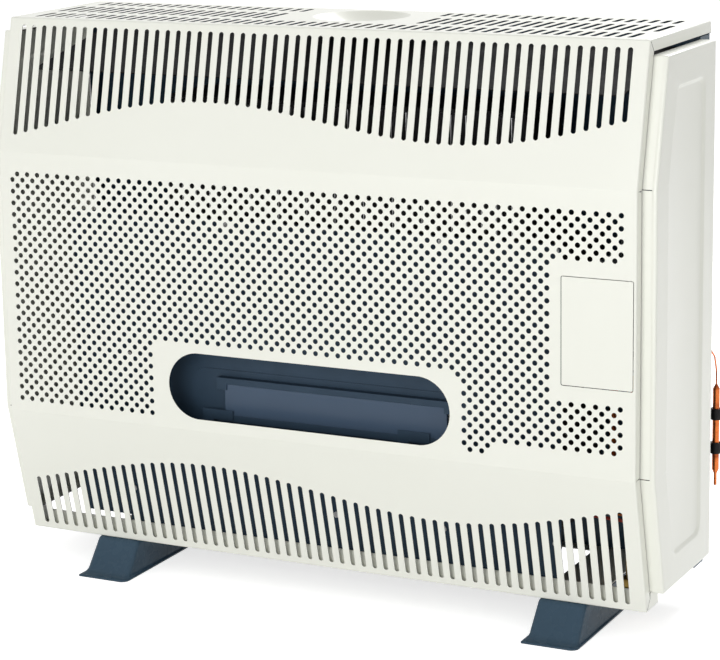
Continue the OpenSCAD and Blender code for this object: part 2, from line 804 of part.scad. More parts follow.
burner_y = throat_y;
burner_z = chamber_z + 62;
burner_left = chamber_x - 130;
burner_len = 260;
feed_d = 10;
feed_x = chamber_right - 20;
port_step = (burner_len - 40) / (port_count - 1);
module burner_tube() {
    wall = 1.5;
    color("silver") difference() {
        union() {
            rod_x(burner_left, burner_y, burner_z, burner_d, burner_len);
            rod_x(burner_left + burner_len - 1, burner_y, burner_z, burner_d * 0.62, 42);
        }
        rod_x(burner_left + wall, burner_y, burner_z, burner_d - 2 * wall, burner_len - 2 * wall);
        rod_x(burner_left + wall + 1, burner_y, burner_z, burner_d * 0.62 - 2 * wall, burner_len + 60);
        for (k = [0 : port_count - 1])
            translate([burner_left + 20 + k * port_step, burner_y, burner_z])
                cylinder(d = 3, h = burner_d, $fn = 24);
    }
}
module burner_brackets() {
    color("silver")
        for (x = [burner_left + 6, burner_left + burner_len - 22])
            difference() {
                block([x, burner_y - burner_d / 2 - 5, chamber_z + sheet_t],
                    [x + 16, burner_y + burner_d / 2 + 5, burner_z]);
                block([x + 2, burner_y - burner_d, chamber_z + sheet_t + 2],
                    [x + 17, burner_y + burner_d, burner_z + through]);
                rod_x(x - through, burner_y, burner_z, burner_d + 2 * fit_gap, 20);
            }
}
injector_x = burner_left + burner_len + 50;
module gas_injector() {
    color("goldenrod") difference() {
        union() {
            rod_x(injector_x, burner_y, burner_z, 9, feed_x - injector_x - 10);
            rod_x(feed_x - 14, burner_y, burner_z, 15, 14);
        }
        rod_x(injector_x - through, burner_y, burner_z, 1.6, feed_x - injector_x - 4);
        rod_x(feed_x - 6, burner_y, burner_z, feed_d + 0.1, 7);
    }
}

// Valve and the pipes that leave it
valve_x = door_left + 37;
valve_w = 68;
valve_y = 64;
valve_d = 66;
valve_h = 78;
valve_z = door_z + 38;
valve_right = valve_x + valve_w / 2;
valve_left = valve_x - valve_w / 2;
module burner_feed_pipe() {
    x0 = valve_left + 14;
    y0 = valve_y + valve_d - 16;
    color("darkgoldenrod") bent_tube([
        [x0, y0, valve_z], [x0, y0, burner_z], [chamber_right + 12, burner_y, burner_z],
        [feed_x - 6, burner_y, burner_z]
    ], feed_d, 12);
}
pilot_x = burner_left + 170;
pilot_y = burner_y - burner_d / 2 - 9;
pilot_top = burner_z + 16;
gland_y = pilot_y;
gland_d = 34;
// Three thin leads run side by side from the valve to the pilot burner.
// Each takes its own place in the gland in the chamber's side and its own height.
module pilot_lead(d, side, rise, from, to) {
    run = chamber_z + rise;
    color("darkgoldenrod") bent_tube([
        from, [from[0], from[1], run], [chamber_right + 10, gland_y + side, run],
        [chamber_right - 16, gland_y + side, run], [chamber_right - 50, to[1], run],
        [to[0], to[1], run], to
    ], d);
}
module pilot_pipe() {
    pilot_lead(4, -8, 32, [valve_left + 32, valve_y + 12, valve_z], [pilot_x + 16, pilot_y, pilot_top - 16]);
}
module thermocouple() {
    pilot_lead(3, 0, 22, [valve_left + 44, valve_y + 24, valve_z], [pilot_x + 6, pilot_y, pilot_top + 10]);
}
module pilot_burner() {
    color("silver") difference() {
        union() {
            block([pilot_x - 14, pilot_y - 6, pilot_top - 4], [pilot_x + 24, pilot_y + 6, pilot_top - 2]);
            translate([pilot_x + 16, pilot_y, pilot_top - 16]) cylinder(d = 9, h = 22);
            block([pilot_x - 14, pilot_y - 6, chamber_z + sheet_t], [pilot_x - 12, pilot_y + 6, pilot_top - 2]);
            block([pilot_x - 30, pilot_y - 6, chamber_z + sheet_t], [pilot_x - 12, pilot_y + 6, chamber_z + 3]);
        }
        translate([pilot_x + 16, pilot_y, pilot_top - 1]) cylinder(d = 5, h = 12);
        translate([pilot_x + 6, pilot_y, pilot_top - 8]) cylinder(d = 3.3, h = 12);
        translate([pilot_x - 6, pilot_y, pilot_top - 8]) cylinder(d = 6.3, h = 12);
    }
}
module spark_electrode() {
    color("white") translate([pilot_x - 6, pilot_y, pilot_top - 14]) cylinder(d = 6, h = 20);
    color("silver") translate([pilot_x - 6, pilot_y, pilot_top + 5.9]) cylinder(d = 1.6, h = 8);
}
module ignition_lead() {
    pilot_lead(4, 8, 12, [piezo_x, piezo_y + piezo_len - 16, piezo_z - piezo_d / 2],
        [pilot_x - 6, pilot_y, pilot_top - 14]);
}

// ---- Controls behind the door ----

bracket_t = 1.5;
panel_y = valve_y - fit_gap - bracket_t;
module valve_bracket() {
    x = valve_left - fit_gap - bracket_t;
    color("silver") {
        block([x, valve_y, valve_z - 70], [x + bracket_t, back_in_y - fit_gap, valve_z + valve_h]);
        block([x - 20, back_in_y - fit_gap - bracket_t, valve_z - 70],
            [x + 0.1, back_in_y - fit_gap, valve_z + valve_h]);
    }
}
knob_x = valve_x - 2;
knob_z = valve_z + 46;
knob_len = 22;
spindle_d = 8;
pilot_button_x = valve_x - 20;
pilot_button_z = valve_z + 11;
button_d = 12;
module gas_valve() {
    color("lightgray") difference() {
        union() {
            block([valve_left, valve_y, valve_z], [valve_right, valve_y + valve_d, valve_z + valve_h]);
            translate([inlet_x, inlet_y, valve_z - 10]) cylinder(d = 28, h = 11, $fn = 6);
        }
        rod_y(knob_x, valve_y - through, knob_z, spindle_d + 0.1, 11);
        rod_y(pilot_button_x, valve_y - through, pilot_button_z, button_d + 0.2, 20);
        translate([inlet_x, inlet_y, valve_z - 11]) cylinder(d = inlet_d - 5 + 0.1, h = 13);
    }
}
module control_bracket() {
    color("silver") difference() {
        block([valve_left, panel_y, piezo_z - 16], [valve_right + 8, panel_y + bracket_t, valve_z + valve_h]);
        rod_y(knob_x, panel_y - through, knob_z, spindle_d + 1, 4);
        rod_y(pilot_button_x, panel_y - through, pilot_button_z, button_d + 1, 4);
        rod_y(piezo_x, panel_y - through, piezo_z, piezo_d + 0.2, 4);
    }
}
knob_y = panel_y - 2 - knob_len;
module valve_spindle() {
    color("silver") rod_y(knob_x, knob_y + 6, knob_z, spindle_d, valve_y + 8 - knob_y - 6);
}
module control_knob() {
    color("black") difference() {
        union() {
            rod_y(knob_x, knob_y + 8, knob_z, knob_d, knob_len - 8);
            rod_y(knob_x, knob_y + 6, knob_z, knob_d - 6, 3);
            translate([knob_x - 4.5, knob_y, knob_z - knob_d / 2 + 2]) cube([9, 10, knob_d - 4]);
        }
        rod_y(knob_x, knob_y + 5.9, knob_z, spindle_d + 0.1, knob_len);
        translate([knob_x - 0.8, knob_y - 1, knob_z + 6]) cube([1.6, 1.6, knob_d]);
    }
}
module pilot_button() {
    y0 = panel_y - pilot_travel - 7;
    color("firebrick") rod_y(pilot_button_x, y0, pilot_button_z, button_d, valve_y + 8 - y0);
}
piezo_x = valve_right - 12;
piezo_y = panel_y - 3;
piezo_z = valve_z - 21;
piezo_d = 19;
piezo_len = 54;
module piezo_igniter() {
    color("black") difference() {
        union() {
            rod_y(piezo_x, piezo_y, piezo_z, piezo_d, piezo_len);
            rod_y(piezo_x, piezo_y, piezo_z, piezo_d + 4, 3 - fit_gap);
        }
        rod_y(piezo_x, piezo_y - through, piezo_z, button_d - 1 + 0.2, 32);
    }
}
module igniter_button() {
    color("crimson") {
        rod_y(piezo_x, piezo_y - igniter_travel - 7, piezo_z, 15, 6);
        rod_y(piezo_x, piezo_y - igniter_travel - 1.1, piezo_z, button_d - 1, 20);
    }
}
inlet_x = valve_x + 4;
inlet_y = valve_y + valve_d - 15;
inlet_low = 29;
module gas_inlet_pipe() {
    color("darkgoldenrod") difference() {
        union() {
            translate([inlet_x, inlet_y, inlet_low + 14]) cylinder(d = inlet_d - 5, h = valve_z + 2 - inlet_low - 14);
            translate([inlet_x, inlet_y, inlet_low]) cylinder(d = inlet_d, h = 15);
            translate([inlet_x, inlet_y, inlet_low + 15]) cylinder(d = 27, h = 8, $fn = 6);
        }
        translate([inlet_x, inlet_y, inlet_low - through]) cylinder(d = inlet_d - 9, h = 400);
    }
}

// ---- Flue, wall fixing and room sensor ----

bead_h = 4;
gasket_t = 3.5;
// Exhaust spigot with a raised bead that stops the duct
module flue_exhaust() {
    color("silver") difference() {
        union() {
            rod_y(chamber_x, exchanger_back - sheet_t, flue_z, exhaust_d, wall_y - exchanger_back + sheet_t);
            rod_y(chamber_x, wall_y - wall_gap - bead_h, flue_z, exhaust_d + 3, bead_h);
        }
        rod_y(chamber_x, exchanger_back - 2 * sheet_t, flue_z, exhaust_d - 3, wall_y);
    }
}
module flue_collar() {
    color("silver") difference() {
        union() {
            rod_y(chamber_x, back_y, flue_z, collar_d, wall_y - back_y);
            rod_y(chamber_x, back_y, flue_z, collar_d + 24, 2);
            rod_y(chamber_x, back_y, flue_z, collar_d + 2, bead_h + 2);
        }
        rod_y(chamber_x, back_y - through, flue_z, collar_d - 3, wall_gap + 10);
    }
}
module flue_gasket() {
    color("gray") difference() {
        rod_y(chamber_x, back_y + 2, flue_z, collar_d + 30, gasket_t);
        rod_y(chamber_x, back_y, flue_z, collar_d + 2 + 2 * fit_gap, gasket_t + 2 + through);
    }
}
bracket_h = 40;
bracket_w = fixing_w + 80;
bracket_sheet = 2;
// Hat section rail from the back panel to the wall, with slots for two wall screws
module wall_rail(z) {
    hat = [
        [back_y, z - bracket_h / 2 - 12], [back_y, z - bracket_h / 2], [wall_y, z - bracket_h / 2],
        [wall_y, z + bracket_h / 2], [back_y, z + bracket_h / 2], [back_y, z + bracket_h / 2 + 12]
    ];
    difference() {
        along_x(-bracket_w / 2, bracket_w) union() {
            translate([back_y, z - bracket_h / 2 - 12]) square([bracket_sheet, 12 + bracket_sheet]);
            translate([back_y, z + bracket_h / 2 - bracket_sheet]) square([bracket_sheet, 12 + bracket_sheet]);
            translate([back_y, z - bracket_h / 2]) square([wall_y - back_y, bracket_sheet]);
            translate([back_y, z + bracket_h / 2 - bracket_sheet]) square([wall_y - back_y, bracket_sheet]);
            translate([wall_y - bracket_sheet, z - bracket_h / 2]) square([bracket_sheet, bracket_h]);
        }
        for (x = [-fixing_w / 2, fixing_w / 2])
            translate([x, wall_y - bracket_sheet - through, z]) rotate([-90, 0, 0])
                linear_extrude(bracket_sheet + 2 * through) slot_shape(fixing_d * 2, fixing_d);
    }
}
module wall_brackets() {
    color("silver")
        for (z = [fixing_high - fixing_h, fixing_high]) wall_rail(z);
}
fixing_high = z_top - 47;

bulb_x = half_w + 7;
bulb_y = back_y + 15.5;
bulb_low = z_fold_low - bulb_drop;
tail_len = 19;
clip_outer = bulb_d + 5;
module sensor_bulb() {
    color("peru") {
        translate([bulb_x, bulb_y, bulb_low]) cylinder(d = bulb_d, h = bulb_len);
        translate([bulb_x, bulb_y, bulb_low - 5]) cylinder(d1 = 3.5, d2 = bulb_d, h = 5.01);
        translate([bulb_x, bulb_y, bulb_low - tail_len]) cylinder(d = 3.5, h = tail_len - 4.9);
        translate([bulb_x, bulb_y, bulb_low + bulb_len - 0.01]) cylinder(d1 = bulb_d, d2 = 2.5, h = 5);
    }
}
module sensor_capillary() {
    end = [valve_x + 8, valve_y + 30, valve_z + valve_h];
    color("peru") bent_tube([
        [bulb_x, bulb_y, bulb_low + bulb_len + 4.99], [bulb_x, bulb_y, capillary_z - 34],
        [bulb_x - 0.5, bulb_y - 6, capillary_z - 16], [bulb_x - 1.5, bulb_y - 20, capillary_z - 4],
        [side_in + 6, side_d - 2, capillary_z], [side_in + 5, side_d - 20, capillary_z + 5],
        [side_in - 6, side_d - 34, capillary_z + 14], [valve_right + 5, valve_y + 60, valve_z + 60],
        [valve_right + 4, valve_y + 56, valve_z + valve_h + 12],
        [valve_x + 16, valve_y + 40, valve_z + valve_h + 26], [end[0], end[1], end[2] + 16], end
    ], 2);
}
module bulb_clips() {
    color("black")
        for (z = [bulb_low + 0.2 * bulb_len, bulb_low + 0.62 * bulb_len])
            difference() {
                union() {
                    translate([bulb_x, bulb_y, z]) cylinder(d = clip_outer, h = 13);
                    block([bulb_x - 19, back_y, z], [bulb_x - 11, bulb_y + 2, z + 13]);
                    block([bulb_x - 19, bulb_y - 2, z], [bulb_x - 2, bulb_y + 2, z + 13]);
                }
                translate([bulb_x, bulb_y, z - through]) cylinder(d = bulb_d + 0.1, h = 20);
                block([bulb_x + 1, bulb_y - 1.6, z - through], [bulb_x + 20, bulb_y + 1.6, z + 20]);
            }
}

place() front_casing();
place() control_door();
place() door_hinge_pins();
place() door_catch();
place() side_panel_left();
place() side_panel_right();
place() back_panel();
place() base_frame();
place() foot_left();
place() foot_right();
place() foot_screws();
place() casing_screws();
place() chamber_shell();
place() chamber_supports();
place() chamber_front_plate();
place() chamber_screws();
place() window_glass();
place() glass_seal();
place() glass_bar_top();
place() glass_bar_bottom();
place() glass_clips();
place() heat_exchanger();
place() exchanger_fins();
place() heat_deflector();
place() burner_tube();
place() burner_brackets();
place() gas_injector();
place() burner_feed_pipe();
place() pilot_burner();
place() pilot_pipe();
place() thermocouple();
place() spark_electrode();
place() ignition_lead();
place() gas_valve();
place() valve_bracket();
place() control_bracket();
place() valve_spindle();
place() control_knob();
place() pilot_button();
place() igniter_button();
place() piezo_igniter();
place() gas_inlet_pipe();
place() flue_exhaust();
place() flue_collar();
place() flue_gasket();
place() wall_brackets();
place() sensor_bulb();
place() sensor_capillary();
place() bulb_clips();
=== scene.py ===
# %% [markdown]
# A gas room heater that hangs on a wall, dressed for rendering.
#
# The heater is a folded steel casing round a sealed burner. Its front has
# three flat parts that meet at shallow folds. The CAD model already holds
# every piece at its real size, so this script only gives the pieces their
# final surface: soft sheet metal edges, paint, glass, copper and plastic.

# %% Load the CAD model
import json
import math

import bmesh
import bpy
from mathutils import Matrix, Vector

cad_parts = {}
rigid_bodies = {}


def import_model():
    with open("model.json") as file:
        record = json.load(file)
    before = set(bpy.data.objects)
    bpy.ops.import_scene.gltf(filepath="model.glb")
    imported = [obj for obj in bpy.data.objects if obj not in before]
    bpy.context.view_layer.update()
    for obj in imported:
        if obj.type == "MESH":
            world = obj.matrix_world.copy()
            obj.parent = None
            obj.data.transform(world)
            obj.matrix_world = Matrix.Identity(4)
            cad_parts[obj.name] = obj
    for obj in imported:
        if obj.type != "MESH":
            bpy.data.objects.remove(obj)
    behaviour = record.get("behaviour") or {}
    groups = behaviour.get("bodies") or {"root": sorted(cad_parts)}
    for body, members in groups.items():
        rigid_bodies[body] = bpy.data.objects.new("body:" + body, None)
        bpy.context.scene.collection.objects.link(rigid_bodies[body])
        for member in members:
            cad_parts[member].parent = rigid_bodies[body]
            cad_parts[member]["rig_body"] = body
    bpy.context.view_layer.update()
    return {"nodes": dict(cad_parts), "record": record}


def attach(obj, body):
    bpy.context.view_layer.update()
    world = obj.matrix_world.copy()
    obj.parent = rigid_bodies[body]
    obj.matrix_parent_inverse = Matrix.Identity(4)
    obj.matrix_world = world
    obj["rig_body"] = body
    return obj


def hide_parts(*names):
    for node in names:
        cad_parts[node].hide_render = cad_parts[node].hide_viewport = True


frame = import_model()
MM = 0.001
FRONT = -131  # where the flat middle of the front stands along Y, in mm
slot_of = {row["node"]: row["material_slot"] for row in frame["record"]["subparts"]}

# %% [markdown]
# The camera stands to the right of the heater and a little above it, and
# looks down by about 12 degrees. Its place was worked out from the straight
# edges of the casing. The small shift moves the frame down without tilting
# the camera, as a view camera does, which keeps the heater's upright edges
# nearer to upright. A larger shift would do that better still, but it would
# also push the heater out of the frame when it is seen from other sides.

# %% Camera
IMAGE_W, IMAGE_H = 720, 660
FOCAL_PX = 2501.8
CENTRE_PX = (335.0, 294.0)
CAMERA_AT = Vector((1282.7, -2560.8, 966.7)) * MM
AZIMUTH, PITCH, ROLL = (math.radians(a) for a in (27.021, 12.203, -1.091))

camera = bpy.data.objects.new("camera", bpy.data.cameras.new("camera"))
bpy.context.scene.collection.objects.link(camera)
camera.data.sensor_width = 36
camera.data.lens = FOCAL_PX / IMAGE_W * 36
camera.data.shift_x = (IMAGE_W / 2 - CENTRE_PX[0]) / IMAGE_W
camera.data.shift_y = (CENTRE_PX[1] - IMAGE_H / 2) / IMAGE_W
turn = Matrix.Rotation(AZIMUTH, 4, "Z") @ Matrix.Rotation(math.pi / 2 - PITCH, 4, "X")
camera.matrix_world = Matrix.Translation(CAMERA_AT) @ turn @ Matrix.Rotation(ROLL, 4, "Z")
bpy.context.scene.camera = camera
print("camera", [round(v, 3) for v in camera.location], "lens", round(camera.data.lens, 1))

# %% [markdown]
# Node trees hold long sums. A small class wraps an output socket, so that a
# sum is written as a Python expression and each operator adds a Math node.
# The same class serves materials and Geometry Nodes, because both kinds of
# tree know the Math node.

# %% Sums and nodes
class Out:
    """An output socket that takes part in Python sums."""

    def __init__(self, tree, socket):
        self.tree, self.socket = tree, socket

    def math(self, operation, other=None, swapped=False):
        values = [self] if other is None else [other, self] if swapped else [self, other]
        return self.tree.add("ShaderNodeMath", {"operation": operation}, dict(enumerate(values)))

    def __add__(self, other):
        return self.math("ADD", other)

    __radd__ = __add__

    def __sub__(self, other):
        return self.math("SUBTRACT", other)

    def __rsub__(self, other):
        return self.math("SUBTRACT", other, True)

    def __mul__(self, other):
        return self.math("MULTIPLY", other)

    __rmul__ = __mul__

    def __truediv__(self, other):
        return self.math("DIVIDE", other)

    def __mod__(self, other):
        return self.math("FLOORED_MODULO", other)

    def __gt__(self, other):
        return self.math("GREATER_THAN", other)

    def __lt__(self, other):
        return self.math("LESS_THAN", other)

    def __abs__(self):
        return self.math("ABSOLUTE")


class Tree:
    """Adds nodes to one node tree."""

    def __init__(self, node_tree):
        self.node_tree = node_tree

    def add(self, kind, settings=None, sockets=None, out=0):
        made = self.node_tree.nodes.new(kind)
        for name, value in (settings or {}).items():
            setattr(made, name, value)
        for name, value in (sockets or {}).items():
            self.plug(made, name, value)
        found = [s for s in made.outputs if s.enabled]
        if not found:
            return made
        return Out(self, made.outputs[out] if isinstance(out, str) else found[out])

    def plug(self, node, name, value):
        shown = [s for s in node.inputs if s.enabled]
        socket = (shown[name] if isinstance(name, int)
                  else next(s for s in shown if s.name == name))
        for one in value if isinstance(value, list) else [value]:
            if isinstance(one, Out):
                self.node_tree.links.new(one.socket, socket)
            else:
                socket.default_value = one


# %% [markdown]
# Every finish is a procedural material on Object coordinates, in metres, so
# the grain has its real size on every piece. One function makes the parts
# that all of them share: the shader, the coordinates and a bump.

# %% Tools for the finishes
def tint(*rgb):
    """A screen colour of 0 to 255 as a linear colour."""
    return tuple(((c / 255 + 0.055) / 1.055) ** 2.4 for c in rgb)


class Finish(Tree):
    """A material with one main shader, drawn on Object coordinates."""

    def __init__(self, name):
        self.material = bpy.data.materials.new(name)
        self.material.use_nodes = True
        super().__init__(self.material.node_tree)
        self.shader = self.material.node_tree.nodes["Principled BSDF"]
        self.place = self.add("ShaderNodeTexCoord", out="Object")

    def set(self, **values):
        for name, value in values.items():
            self.plug(self.shader, name.replace("_", " "), value)
        return self

    def stretched(self, x, y, z):
        return self.add("ShaderNodeMapping", sockets={"Vector": self.place, "Scale": (x, y, z)})

    def noise(self, size_mm, detail, place=None):
        """Soft blotches of a size, with finer ones in them for each step of detail."""
        return self.add("ShaderNodeTexNoise", sockets={
            "Vector": place or self.place, "Scale": 1000 / size_mm, "Detail": detail})

    def cells(self, size_mm):
        """Crystals of a size, each with a colour of its own."""
        return self.add("ShaderNodeTexVoronoi", sockets={
            "Vector": self.place, "Scale": 1000 / size_mm}, out="Color")

    def mix(self, factor, low, high):
        return self.add("ShaderNodeMix", {"data_type": "RGBA"}, {
            "Factor": factor, "A": (*low, 1) if isinstance(low, tuple) else low,
            "B": (*high, 1) if isinstance(high, tuple) else high})

    def step(self, value, low, high):
        """0 below low, 1 above high and a soft step between."""
        return self.add("ShaderNodeMapRange", {"interpolation_type": "SMOOTHSTEP"}, {
            "Value": value, "From Min": low, "From Max": high})

    def bump(self, height, depth_mm, strength):
        normal = self.add("ShaderNodeBump", sockets={
            "Height": height, "Distance": depth_mm * MM, "Strength": strength})
        return self.set(Normal=normal)


# %% [markdown]
# The casing, the door and the side panels wear a cream powder coat. Real
# powder melts into a skin with a faint orange peel of about 1 mm, so the
# highlights break up a little. A very wide, weak noise keeps large panels
# from looking computer flat. The thin edges of the sheet carry painted
# shade, so that the slots look dark: the cream paint turns nearly black
# where a face attribute marks those edges, which a later step writes.

# %% Paint finishes
finishes = {}


def keep(name, finish):
    finishes[name] = finish.material
    return finish


def cream_paint():
    f = keep("cream_paint", Finish("cream_powder_coat"))
    coat = f.mix(f.noise(260, 3), tint(238, 239, 228), tint(243, 244, 235))
    # painted shade: the sheet's thin edges turn nearly black, so the slots look dark
    edge_shade = f.add("ShaderNodeAttribute", {"attribute_name": "cut_edge"}, out="Fac")
    f.set(Base_Color=f.mix(edge_shade, coat, tint(30, 29, 27)),
          Roughness=0.33 + 0.10 * f.noise(35, 3),
          Coat_Weight=0.25, Coat_Roughness=0.12)
    f.bump(f.noise(1.4, 1), 0.02, 0.5)


def slate_paint():
    f = keep("slate_paint", Finish("slate_gloss_paint"))
    f.set(Base_Color=f.mix(f.noise(60, 4), tint(52, 72, 88), tint(62, 84, 101)),
          Roughness=0.20 + 0.14 * f.noise(12, 4), Specular_IOR_Level=0.12,
          Coat_Weight=0.05, Coat_Roughness=0.04)
    f.bump(f.noise(2.6, 2), 0.02, 0.4)


def firebox_paint():
    """Heat proof paint on the plate behind the window and on the glass's bars and clips."""
    f = keep("firebox_paint", Finish("firebox_heat_paint"))
    f.set(Base_Color=f.mix(f.noise(45, 5), tint(40, 57, 73), tint(54, 73, 91)),
          Roughness=0.38 + 0.2 * f.noise(10, 4), Specular_IOR_Level=0.2)
    f.bump(f.noise(2.0, 3), 0.03, 0.5)


def chamber_enamel():
    f = keep("chamber_enamel", Finish("chamber_enamel"))
    heat = f.step(f.noise(90, 5), 0.35, 0.75)
    f.set(Base_Color=f.mix(heat, tint(17, 18, 21), tint(30, 29, 30)),
          Roughness=0.55 + 0.25 * f.noise(8, 4), Specular_IOR_Level=0.3)
    f.bump(f.noise(0.9, 2), 0.03, 0.6)


cream_paint()
slate_paint()
firebox_paint()
chamber_enamel()

# %% [markdown]
# Hot dipped zinc freezes in crystals, called spangle. A Voronoi texture gives
# each crystal its own grey and its own gloss. Drawn or rolled steel gets fine
# streaks along one axis, and a casting gets a sandy bump.

# %% Metal finishes
def galvanised():
    f = keep("galvanised", Finish("galvanised_sheet"))
    grey = f.add("ShaderNodeSeparateColor", sockets={"Color": f.cells(9)})
    f.set(Base_Color=f.mix(grey, tint(182, 186, 188), tint(214, 217, 218)), Metallic=0.75,
          Roughness=0.34 + 0.22 * grey + 0.06 * f.noise(2, 3))
    f.bump(grey + 0.3 * f.noise(1, 2), 0.01, 0.5)


def streaked(name, dark, bright, rough, stretch):
    f = keep(name, Finish(name + "_metal"))
    streak = f.noise(4, 4, f.stretched(*stretch))
    f.set(Base_Color=f.mix(streak, dark, bright), Metallic=1.0,
          Roughness=rough + 0.18 * streak + 0.08 * f.noise(20, 3))
    f.bump(streak, 0.01, 0.4)


def cast_alloy():
    f = keep("cast_alloy", Finish("cast_alloy_metal"))
    f.set(Base_Color=f.mix(f.noise(14, 4), tint(158, 160, 162), tint(190, 191, 192)),
          Metallic=0.9, Roughness=0.42 + 0.2 * f.noise(3, 3))
    f.bump(f.noise(0.8, 3), 0.06, 0.7)


def copper():
    """Drawn copper that has gone darker and redder in patches."""
    f = keep("copper", Finish("drawn_copper"))
    aged = f.step(f.noise(16, 5), 0.42, 0.72)
    f.set(Base_Color=f.mix(aged, tint(206, 112, 58), tint(126, 50, 26)),
          Metallic=0.95, Roughness=0.26 + 0.24 * aged)
    f.bump(f.noise(2.2, 3), 0.02, 0.5)


galvanised()
cast_alloy()
copper()
streaked("steel", tint(170, 171, 172), tint(208, 208, 207), 0.26, (1, 1, 0.1))
streaked("aluminium", tint(186, 188, 190), tint(220, 221, 222), 0.30, (0.1, 1, 1))
streaked("brass", tint(186, 146, 74), tint(220, 184, 106), 0.22, (1, 1, 0.2))

# %% [markdown]
# The window is heat proof glass with a blue haze, so it lets only a part of
# the light through and scatters the rest. Round it and behind it sit a rope
# of ceramic fibre, rubber, porcelain and moulded plastics. They are small,
# so each needs only the one feature that gives it away: a weave, a glaze or
# a fine moulded grain.

# %% Glass, ceramic, rubber and plastic finishes
def glass():
    f = keep("glass", Finish("heat_proof_glass"))
    f.set(Base_Color=f.mix(f.noise(140, 1), tint(82, 102, 126), tint(90, 111, 136)),
          Roughness=0.24 + 0.04 * f.noise(90, 1),
          Transmission_Weight=0.35, IOR=1.47, Specular_IOR_Level=0.15)


def seal_rope():
    f = keep("seal_rope", Finish("ceramic_fibre_rope"))
    weave = f.add("ShaderNodeTexWave", {"bands_direction": "DIAGONAL"}, {
        "Vector": f.place, "Scale": 180.0, "Distortion": 1.5, "Detail": 2.0})
    weave = f.add("ShaderNodeSeparateColor", sockets={"Color": weave})
    f.set(Base_Color=f.mix(weave, tint(176, 170, 156), tint(222, 218, 206)), Roughness=0.9)
    f.bump(weave, 0.4, 0.8)


def moulded(name, colour, rough, grain_mm, depth_mm, coat=0.0, shine=0.5):
    f = keep(name, Finish(name + "_moulding"))
    worn = f.step(f.noise(24, 5), 0.55, 0.8)
    pale = tuple(min(1, c * 1.25 + 0.006) for c in colour)  # where the surface is worn
    f.set(Base_Color=f.mix(worn, colour, pale), Roughness=rough + 0.12 * f.noise(9, 3),
          Coat_Weight=coat, Specular_IOR_Level=shine)
    f.bump(f.noise(grain_mm, 2), depth_mm, 0.6)


glass()
seal_rope()
moulded("gasket", tint(36, 36, 37), 0.7, 0.8, 0.05, shine=0.25)
moulded("ceramic", tint(236, 231, 219), 0.18, 6, 0.02, coat=0.5)
moulded("lead_sheath", tint(164, 52, 42), 0.5, 1.5, 0.03)
moulded("black_plastic", tint(16, 16, 17), 0.42, 0.6, 0.04, shine=0.2)
moulded("red_plastic", tint(178, 36, 30), 0.28, 3, 0.01, coat=0.2)
moulded("white_plastic", tint(232, 231, 226), 0.26, 3, 0.01, coat=0.2)
print(len(finishes), "finishes")
assert set(finishes) == set(slot_of.values())


# %% [markdown]
# Two helpers serve all pieces. One turns an object with modifiers into a
# plain mesh. The other paints a finished piece, lets it ride on its body and
# hides the CAD solid that it stands for.

# %% Helpers for pieces
def new_object(name, mesh):
    made = bpy.data.objects.new(name, mesh)
    bpy.context.scene.collection.objects.link(made)
    return made


def settle(piece):
    """Applies every modifier, by taking the evaluated mesh."""
    bpy.context.view_layer.update()
    graph = bpy.context.evaluated_depsgraph_get()
    mesh = bpy.data.meshes.new_from_object(piece.evaluated_get(graph), depsgraph=graph,
                                           preserve_all_data_layers=True)
    piece.modifiers.clear()
    piece.data = mesh


def paint(piece, finish):
    piece.data.materials.clear()
    piece.data.materials.append(finishes[finish])


def stand_for(piece, node):
    """The piece takes over from a CAD node, on the same body and with the same finish."""
    paint(piece, slot_of[node])
    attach(piece, frame["nodes"][node]["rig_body"])
    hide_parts(node)
    triangles = sum(len(p.vertices) - 2 for p in piece.data.polygons)
    print(f"{piece.name}: {triangles} triangles, stands for {node}")


def sheet_object(name, points, faces):
    """An object from points of (x, depth, height) in mm."""
    mesh = bpy.data.meshes.new(name)
    mesh.from_pydata([(x * MM, (y + FRONT) * MM, z * MM) for x, y, z in points], [], faces)
    return new_object(name, mesh)


# %% [markdown]
# The casing is one sheet of steel. On a press it is punched flat first and
# folded after that. Geometry Nodes can follow the same order: an outline is
# drawn for each flat part, the holes are instanced as outlines on a grid of
# points, Fill Curve turns the drawing into a sheet, and the sheet is turned
# into its place. The rules that say where a hole belongs are the rules of the
# CAD source, written as sums on the points' coordinates. A few sizes differ
# from the CAD on purpose. The sheet is thinner and the slots in the top are
# wider, so that all slots look as dark as on the real casing. The side
# flanges stop a little short, which lets the seam show as a fine line, and
# the one at the bottom reaches up to the side panel, as in the real corner.

# %% Sizes of the casing
# All in mm. A height on a flat part is measured along the sheet from its lower
# corner, and a depth runs back from the flat middle of the front.
CASING_SHEET = 0.8
HALF_W = 399
EDGE_R = 2.0  # soft edge between the front and the flanges
FOLD_R = 2.6  # outer radius of the folds
FLANGE = 13.2
LOW_FLANGE = 60.3  # upper edge of the bottom's flange
NOTCH = 0.6  # half the slit between the flanges at a fold
casing_path = [(75, 40), (39, 40), (0, 199), (0, 514), (37, 669), (235, 669), (235, 655)]
HOLE_STEP, HOLE_D = 7.0, 6.0
HOLE_COLUMNS, HOLE_ROWS, FIRST_ROW = 110, 40, 16
WINDOW = (3.5, 53.5, 358, 79)  # middle, height, length and width of the round-ended opening
DOOR = (314.2, 100, 395.2, 219)  # left, low, right and high edge
DOOR_GAP, DOOR_CORNER = 0.8, 2.2
SLOT_STEP, SLOT_COLUMNS, SLOT_W, TOP_SLOT_W = 14.0, 55, 5.8, 7.2
SLOT_END = 8.5  # height from a corner to the straight row of slot ends beside it
LOW_WAVE = (62.5, -0.041, 23.5, -318, 660)  # base, tilt, height, shift and length
HIGH_WAVE = (52, 0.055, 25, 27, 710)
